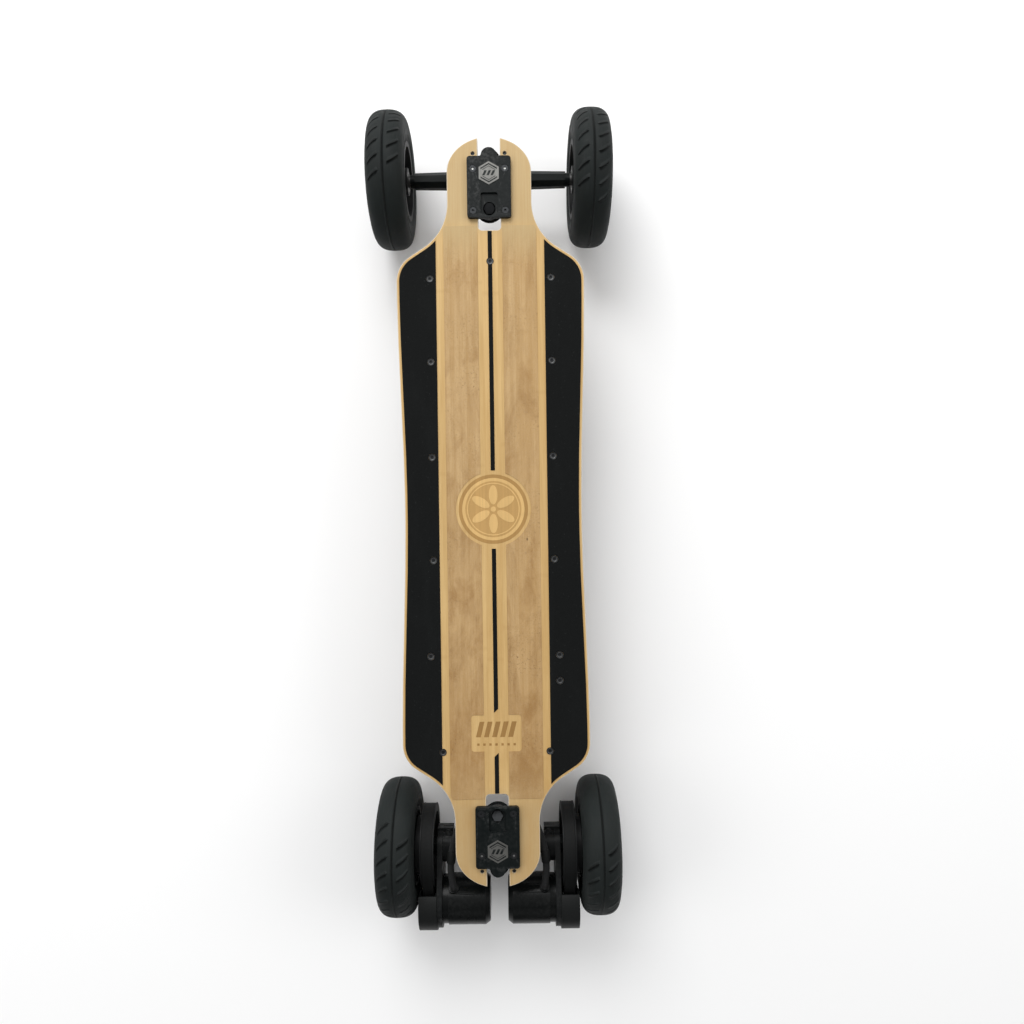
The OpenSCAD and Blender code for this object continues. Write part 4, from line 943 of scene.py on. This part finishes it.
class SKATEBOARD_OT_trucks(Operator):
    """Yokes, hangers, axles and kingpins"""

    bl_idname = "skateboard.trucks"
    bl_label = "Trucks"

    def execute(self, context):
        for end in ENDS:
            refined(end + "_yoke", finish(truck_paint), 0.8 * MM, 3, 30.0)
            refined(end + "_hanger", finish(truck_paint), 0.8 * MM, 3, 30.0)
            refined(end + "_axle", finish(oiled_steel), 0.3 * MM)
            for stage in SEATS:
                refined(f"{end}_{stage}_kingpin", finish(black_steel), 0.3 * MM)
        return {"FINISHED"}


def bushing_outline(low, high, narrow, wide):
    """Outline of one bushing: bore, chamfered ends and a soft barrel between them."""
    span = high - low
    belly = [(narrow + (wide - narrow) * t + 0.5 * MM * math.sin(math.pi * t), low + span * t)
             for t in (0.12, 0.28, 0.44, 0.6, 0.76, 0.9)]
    return [(PIN, low), (narrow - 0.9 * MM, low), (narrow - 0.2 * MM, low + 0.5 * MM), *belly,
            (wide - 0.2 * MM, high - 0.5 * MM), (wide - 0.9 * MM, high), (PIN, high)]


class SKATEBOARD_OT_bushings(Operator):
    """Bushings between the two steering stages, and the pivot cups"""

    bl_idname = "skateboard.bushings"
    bl_label = "Bushings"

    def execute(self, context):
        red = finish(cast_urethane, "bushing_urethane", tuple(context.scene.skateboard_wheels.bushing))
        black = finish(soft_rubber)
        for end in ENDS:
            yoke, hanger = end + "_truck_yoke", end + "_truck_hanger"
            for stage, (fixed, turning) in {"inner": ("board", yoke), "outer": (yoke, hanger)}.items():
                node, frame_on_pin = f"{end}_{stage}_bushings", on_pin(end, stage)
                spans = {"upper": (RING_HALF, RING_HALF + UPPER[stage], BUSHING - 0.5 * MM, BUSHING - 0.5 * MM),
                         "lower": (-RING_HALF - LOWER, -RING_HALF, BUSHING - 2.8 * MM, BUSHING - 0.5 * MM)}
                for which, (low, high, narrow, wide) in spans.items():
                    bm = bmesh.new()
                    lathe(bm, bushing_outline(low + 0.05 * MM, high - 0.05 * MM, narrow, wide), 48, closed=True)
                    made = piece(f"{end}_{stage}_{which}_bushing", bm, red, None,
                                 [node], place=frame_on_pin)
                    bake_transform(made)
                cup = merged(node)
                parts = loose_parts(cup)
                keep = max(parts, key=lambda part: distance_from_pin(part, frame_on_pin))
                bmesh.ops.delete(cup, geom=[v for v in cup.verts if v not in keep], context="VERTS")
                piece(f"{end}_{stage}_pivot_cup", cup, black, fixed, edge=0.3 * MM, tidy=False)
        return {"FINISHED"}


def loose_parts(bm):
    """Vertices of each separate part of a bmesh."""
    left, parts = set(bm.verts), []
    while left:
        part, heads = set(), [left.pop()]
        while heads:
            vert = heads.pop()
            part.add(vert)
            for edge in vert.link_edges:
                other = edge.other_vert(vert)
                if other in left:
                    left.discard(other)
                    heads.append(other)
        parts.append(part)
    return parts


def distance_from_pin(part, frame_on_pin):
    """How far the middle of a part lies from the kingpin's axis."""
    back = frame_on_pin.inverted()
    middle = sum((v.co for v in part), Vector()) / len(part)
    return (back @ middle).xy.length


# ---------- wheels ----------


def tyre_outline(half, crown, section, power, bead, wall, rows):
    """Closed outline of a tyre's section, (radius, place across), and the row number of each point."""
    height = crown - section

    def across_at(radius):
        return half * (1 - (abs(radius - section) / height) ** power) ** (1 / power)

    def radius_at(place):
        return section + height * (1 - (abs(place) / half) ** power) ** (1 / power)

    side = [(radius_at(place * MM), place * MM) for place in rows]
    ribs = {71.2: 0.0, 70.8: 0.45, 69.6: 0.45, 69.2: 0.0, 61.4: 0.0, 61.0: 0.4, 59.8: 0.4, 59.4: 0.0}
    below = sorted([73.0, 66.5, 64.0, 57.0, 55.0, 53.0, 51.0] + list(ribs), reverse=True)
    side += [(r * MM, across_at(r * MM) + ribs.get(r, 0.0) * MM) for r in below]
    side += [(bead, across_at(bead)), (bead, across_at(bead) - wall)]
    inner_half, inner_height = half - wall, height - wall
    for step in range(9):
        a = math.radians(-40 + 130 * step / 8)
        side.append((section + inner_height * math.copysign(abs(math.sin(a)) ** (2 / power), a),
                     inner_half * abs(math.cos(a)) ** (2 / power)))
    return side[:-1] + [(section + inner_height, 0.0)] + [(r, -x) for r, x in reversed(side[:-1])]


# Depths below the crown of the widest place and of the bead, wall, and roundness of the section
WIDEST_DEPTH, BEAD_DEPTH, TYRE_WALL, ROUNDNESS = 22 * MM, 41 * MM, 4 * MM, 2.6
COLUMNS = 6           # columns of faces in one tread pitch
SIPE_ROWS = (2, 9)    # first and last row that a shoulder sipe crosses


class SKATEBOARD_OT_tyres(Operator):
    """Pneumatic tyres with swept shoulder sipes, a crown groove and sidewall ribs"""

    bl_idname = "skateboard.tyres"
    bl_label = "Tyres"

    def execute(self, context):
        wheel = context.scene.skateboard_wheels
        low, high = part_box("front_tyre_left")
        crown, half = (high.z - low.z) / 2, (high.x - low.x) / 2
        section, bead = crown - WIDEST_DEPTH, crown - BEAD_DEPTH
        rows = [0.6, 2.6, 5.2, 7.6, 10.0, 12.4, 14.8, 17.0, 19.0, 20.8, 22.2, 23.3, 24.1]
        outline = tyre_outline(half, crown, section, ROUNDNESS, bead, TYRE_WALL, rows)
        columns = wheel.pitches * COLUMNS
        pitch = TURN / wheel.pitches
        slit = wheel.sipe_width / crown
        land = (pitch - 2 * slit) / 4
        starts = [0, slit, slit + land, slit + 2 * land, 2 * slit + 2 * land, 2 * slit + 3 * land]
        first, last = SIPE_ROWS
        for end in ENDS:
            for side in SIDES:
                bm = bmesh.new()
                row = bm.verts.layers.int.new("row")
                column = bm.verts.layers.int.new("column")
                verts = [bm.verts.new((r, 0.0, x)) for r, x in outline]
                for number, vert in enumerate(verts):
                    mirrored = len(outline) - number - 1
                    vert[row] = number + 1 if number < len(outline) // 2 else -(mirrored + 1)
                edges = [bm.edges.new(pair) for pair in zip(verts, verts[1:] + verts[:1])]
                bmesh.ops.spin(bm, geom=verts + edges, cent=(0, 0, 0), axis=(0, 0, 1), dvec=(0, 0, 0),
                               angle=TURN, steps=columns, use_merge=True, use_normal_flip=False,
                               use_duplicate=False)
                for vert in bm.verts:
                    turn = math.atan2(vert.co.y, vert.co.x) % TURN
                    number = round(turn / TURN * columns) % columns
                    vert[column] = number
                    rank = abs(vert[row]) - 1
                    share = min(max((rank - first) / (last - first), 0.0), 1.0)
                    sweep = -math.copysign(share ** 1.4 * wheel.sipe_sweep / crown, vert[row])
                    angle = number // COLUMNS * pitch + starts[number % COLUMNS] + sweep
                    radius = vert.co.xy.length
                    vert.co.x, vert.co.y = radius * math.cos(angle), radius * math.sin(angle)
                slits, groove = [], []
                for face in bm.faces:
                    ranks = [v[row] for v in face.verts]
                    if min(abs(r) for r in ranks) == 1 and max(abs(r) for r in ranks) == 1:
                        groove.append(face)
                        continue
                    if any(abs(r) > last + 1 or abs(r) <= first for r in ranks):
                        continue
                    numbers = {v[column] % COLUMNS for v in face.verts}
                    if numbers == ({0, 1} if ranks[0] > 0 else {3, 4}):
                        slits.append(face)
                for faces, depth in ((slits, wheel.sipe_depth), (groove, wheel.groove_depth)):
                    sunk = added_verts(bmesh.ops.extrude_face_region(bm, geom=faces))
                    for vert in sunk:
                        radius = vert.co.xy.length
                        inward = Vector((section * 0.9 - radius, -vert.co.z)).normalized() * depth
                        vert.co.x *= (radius + inward.x) / radius
                        vert.co.y *= (radius + inward.x) / radius
                        vert.co.z += inward.y
                node = f"{end}_tyre_{side}"
                turn = Matrix.Rotation(math.pi if side == "left" else 0.0, 4, "Z")
                place = Matrix.Translation(middle_of(node)) @ turn @ ACROSS
                piece(f"{end}_treaded_tyre_{side}", bm, finish(tyre_rubber), f"{end}_wheel_{side}",
                      [node], 0.22 * MM, 1, 42.0, place=place)
        return {"FINISHED"}


class SKATEBOARD_OT_rims(Operator):
    """Spoked rims and their bearings"""

    bl_idname = "skateboard.rims"
    bl_label = "Rims"

    def execute(self, context):
        for end in ENDS:
            for side in SIDES:
                refined(f"{end}_rim_{side}", finish(rim_plastic), 0.6 * MM)
                refined(f"{end}_bearings_{side}", finish(oiled_steel), 0.2 * MM, 1)
        return {"FINISHED"}


# ---------- drive ----------


class SKATEBOARD_OT_motors(Operator):
    """Motor mounts, cans, windings, rotors and pulley covers"""

    bl_idname = "skateboard.motors"
    bl_label = "Motors"

    def execute(self, context):
        repaint("motor_stators", finish(copper_winding))
        for side in SIDES:
            refined("motor_mount_" + side, finish(mount_paint), 0.6 * MM, 2, 30.0)
            refined("motor_can_" + side, finish(can_paint), 0.5 * MM, 2, 30.0)
            refined("motor_rotor_" + side, finish(black_steel), 0.15 * MM, 1)
            refined("belt_cover_" + side, finish(cover_plastic), 0.8 * MM, 3, 40.0)
        return {"FINISHED"}


class SKATEBOARD_OT_belts(Operator):
    """Drive gears and toothed belts"""

    bl_idname = "skateboard.belts"
    bl_label = "Belts"

    def execute(self, context):
        for side in SIDES:
            refined("drive_gear_" + side, finish(rim_plastic), 0.15 * MM, 1)
        refined("drive_belts", finish(soft_rubber), 0.3 * MM)
        return {"FINISHED"}


# Route of the right-hand lead: (across, behind the deck's middle, height) in millimetres
LEAD_ROUTE = [(34, 334.3, 128), (34, 342.3, 128), (36, 358, 131), (40, 380, 133), (46, 400, 135), (53, 418, 136),
              (59, 436, 136), (62, 454, 136), (63, 470, 136), (62, 483, 134), (61, 493.7, 130.3),
              (61, 497.7, 126.3), (61, 500.7, 123.3)]
LEAD_RADIUS = 4.5 * MM
LEAD_SPLIT = 7    # point of the route at which the lead crosses from one steering stage to the next
LEAD_STEPS = 6    # steps between two points of the route


def smooth_route(points, share):
    """Points of a smooth curve through the route, with share steps between two of them."""
    made = []
    for i in range(len(points) - 1):
        p0, p1, p2 = points[max(i - 1, 0)], points[i], points[i + 1]
        p3 = points[min(i + 2, len(points) - 1)]
        for step in range(share):
            t = step / share
            made.append(0.5 * (2 * p1 + t * (p2 - p0) + t * t * (2 * p0 - 5 * p1 + 4 * p2 - p3)
                               + t ** 3 * (3 * p1 - p0 - 3 * p2 + p3)))
    return made + [points[-1]]


def sweep_tube(bm, path, radius, sides):
    """Pushes a ring along a path, ring by ring, and maps it: once round across, metres along."""
    around = bm.verts.layers.int.new("around")
    ring_number = bm.verts.layers.int.new("ring")
    ways = [(path[min(i + 1, len(path) - 1)] - path[max(i - 1, 0)]).normalized() for i in range(len(path))]
    turn = ways[0].to_track_quat("Z", "Y")
    frames = []
    for i, way in enumerate(ways):
        if i:
            turn = ways[i - 1].rotation_difference(way) @ turn
        frames.append(Matrix.Translation(path[i]) @ turn.to_matrix().to_4x4())
    ring = bmesh.ops.create_circle(bm, cap_ends=True, radius=radius, segments=sides, matrix=frames[0])["verts"]
    for number, vert in enumerate(ring):
        vert[around] = number
    edges = bm.edges[:]
    for i in range(1, len(frames)):
        grown = bmesh.ops.extrude_edge_only(bm, edges=edges)["geom"]
        ring = added_verts({"geom": grown})
        edges = [g for g in grown if isinstance(g, bmesh.types.BMEdge)]
        bmesh.ops.transform(bm, matrix=frames[i] @ frames[i - 1].inverted(), verts=ring)
        for vert in ring:
            vert[ring_number] = i
    bmesh.ops.contextual_create(bm, geom=edges)
    travel = [0.0]
    for a, b in zip(path, path[1:]):
        travel.append(travel[-1] + (b - a).length)
    chart = bm.loops.layers.uv.new("sleeve")
    girth = TURN * radius
    for face in bm.faces:
        wraps = len(face.verts) == 4 and {v[around] for v in face.verts} == {0, sides - 1}
        for loop in face.loops:
            number = loop.vert[around]
            number = sides if wraps and number == 0 else number
            loop[chart].uv = (number / sides, travel[loop.vert[ring_number]] / girth)


class SKATEBOARD_OT_leads(Operator):
    """Braided motor leads in two halves, split where they cross from one steering stage to the next"""

    bl_idname = "skateboard.leads"
    bl_label = "Motor leads"

    def execute(self, context):
        for side in SIDES:
            route = [TRUCK["rear"] @ Vector((-SIGN[side] * x * MM, y * MM, z * MM)) for x, y, z in LEAD_ROUTE]
            path = smooth_route(route, LEAD_STEPS)
            split = LEAD_SPLIT * LEAD_STEPS
            halves = {"front": (path[:split + 1], "board", "rear_truck_yoke"),
                      "back": (path[split:], "rear_truck_yoke", "rear_truck_hanger")}
            for which, (points, fixed, turning) in halves.items():
                bm = bmesh.new()
                sweep_tube(bm, points, LEAD_RADIUS, 20)
                made = piece(f"motor_lead_{which}_{side}", bm, finish(braided_sleeve), None,
                             ["motor_leads"])
                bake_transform(made)
            way = (path[split + 1] - path[split - 1]).normalized()
            bm = bmesh.new()
            lathe(bm, [(LEAD_RADIUS + 0.05 * MM, -8 * MM), (LEAD_RADIUS + 0.9 * MM, -8 * MM),
                       (LEAD_RADIUS + 1.3 * MM, -7 * MM), (LEAD_RADIUS + 1.3 * MM, 7 * MM),
                       (LEAD_RADIUS + 0.9 * MM, 8 * MM), (LEAD_RADIUS + 0.05 * MM, 8 * MM)], 40, closed=True)
            place = Matrix.Translation(path[split]) @ way.to_track_quat("Z", "Y").to_matrix().to_4x4()
            piece("lead_sleeve_" + side, bm, finish(soft_rubber), "rear_truck_yoke", place=place)
        return {"FINISHED"}


# ---------- stage ----------


class SKATEBOARD_OT_stage(Operator):
    """Pale floor, soft lights and the camera above the board"""

    bl_idname = "skateboard.stage"
    bl_label = "Stage"

    def execute(self, context):
        scene, stage = context.scene, context.scene.skateboard_stage
        f = Finish("studio_floor", stage.floor, Specular_IOR_Level=0.1)
        f.set("Roughness", f.ramp(f.noise(6.0), (0.3, 0.82), (0.7, 0.92)))
        bm = bmesh.new()
        bmesh.ops.create_grid(bm, x_segments=8, y_segments=8, size=6.0)
        mesh = bpy.data.meshes.new("studio_floor")
        bm.to_mesh(mesh)
        bm.free()
        mesh.materials.append(f.material)
        floor = bpy.data.objects.new("studio_floor", mesh)
        scene.collection.objects.link(floor)
        world = bpy.data.worlds.new("studio")
        world.use_nodes = True
        nodes, links = world.node_tree.nodes, world.node_tree.links
        background, apart = nodes["Background"], nodes.new("ShaderNodeSeparateXYZ")
        fade = nodes.new("ShaderNodeMapRange")
        links.new(nodes.new("ShaderNodeTexCoord").outputs["Generated"], apart.inputs[0])
        links.new(apart.outputs["Y"], fade.inputs["Value"])
        for socket, value in {"From Min": -0.55, "From Max": 0.55, "To Min": 0.12, "To Max": 1.06}.items():
            fade.inputs[socket].default_value = value
        links.new(fade.outputs[0], background.inputs["Color"])
        background.inputs["Strength"].default_value = stage.sky
        scene.world = world
        lamps = {"front_light": ((-0.5, 1.9, 1.9), 1.6, stage.key),
                 "left_light": ((-2.0, -0.2, 1.8), 1.4, stage.fill),
                 "right_light": ((2.0, 0.2, 1.8), 1.4, stage.fill),
                 "rear_light": ((0.3, -2.1, 1.7), 1.4, stage.fill * 0.2)}
        for name, (where, size, power) in lamps.items():
            lamp = bpy.data.lights.new(name, "AREA")
            lamp.shape, lamp.size, lamp.energy = "DISK", size, power
            made = bpy.data.objects.new(name, lamp)
            made.location = where
            made.rotation_euler = (-Vector(where)).to_track_quat("-Z", "Y").to_euler()
            scene.collection.objects.link(made)
        lens = bpy.data.cameras.new("camera")
        lens.lens, lens.sensor_width, lens.clip_start, lens.clip_end = stage.lens, 36.0, 0.01, 50.0
        camera = bpy.data.objects.new("camera", lens)
        camera.location = (stage.camera_x, stage.camera_y, stage.camera_z)
        camera.rotation_euler = (0.0, 0.0, stage.camera_turn)
        scene.collection.objects.link(camera)
        scene.camera = camera
        scene.view_settings.view_transform = "Standard"
        return {"FINISHED"}


# ---------- add-on ----------

SETTINGS = {"skateboard_deck": DeckSettings, "skateboard_wheels": WheelSettings,
            "skateboard_metal": MetalSettings, "skateboard_stage": StageSettings}
OPERATORS = (SKATEBOARD_OT_deck, SKATEBOARD_OT_grip, SKATEBOARD_OT_emblem, SKATEBOARD_OT_case,
             SKATEBOARD_OT_battery, SKATEBOARD_OT_baseplates, SKATEBOARD_OT_trucks, SKATEBOARD_OT_bushings,
             SKATEBOARD_OT_tyres, SKATEBOARD_OT_rims, SKATEBOARD_OT_motors, SKATEBOARD_OT_belts,
             SKATEBOARD_OT_leads, SKATEBOARD_OT_stage)


class SKATEBOARD_PT_panel(Panel):
    """Sizes, colours and the steps that build the board"""

    bl_label = "Skateboard"
    bl_idname = "SKATEBOARD_PT_panel"
    bl_space_type = "VIEW_3D"
    bl_region_type = "UI"
    bl_category = "Skateboard"

    def draw(self, context):
        for name, group in SETTINGS.items():
            box = self.layout.box()
            box.label(text=group.__doc__)
            for prop in group.__annotations__:
                box.prop(getattr(context.scene, name), prop)
        for operator in OPERATORS:
            self.layout.operator(operator.bl_idname)


CLASSES = (*SETTINGS.values(), *OPERATORS, SKATEBOARD_PT_panel)


def register():
    for item in CLASSES:
        bpy.utils.register_class(item)
    for name, group in SETTINGS.items():
        setattr(bpy.types.Scene, name, PointerProperty(type=group))


def unregister():
    for name in SETTINGS:
        delattr(bpy.types.Scene, name)
    for item in reversed(CLASSES):
        bpy.utils.unregister_class(item)


def main():
    register()
    for operator in OPERATORS:
        group, name = operator.bl_idname.split(".")
        getattr(getattr(bpy.ops, group), name)()


if __name__ == "__main__":
    main()
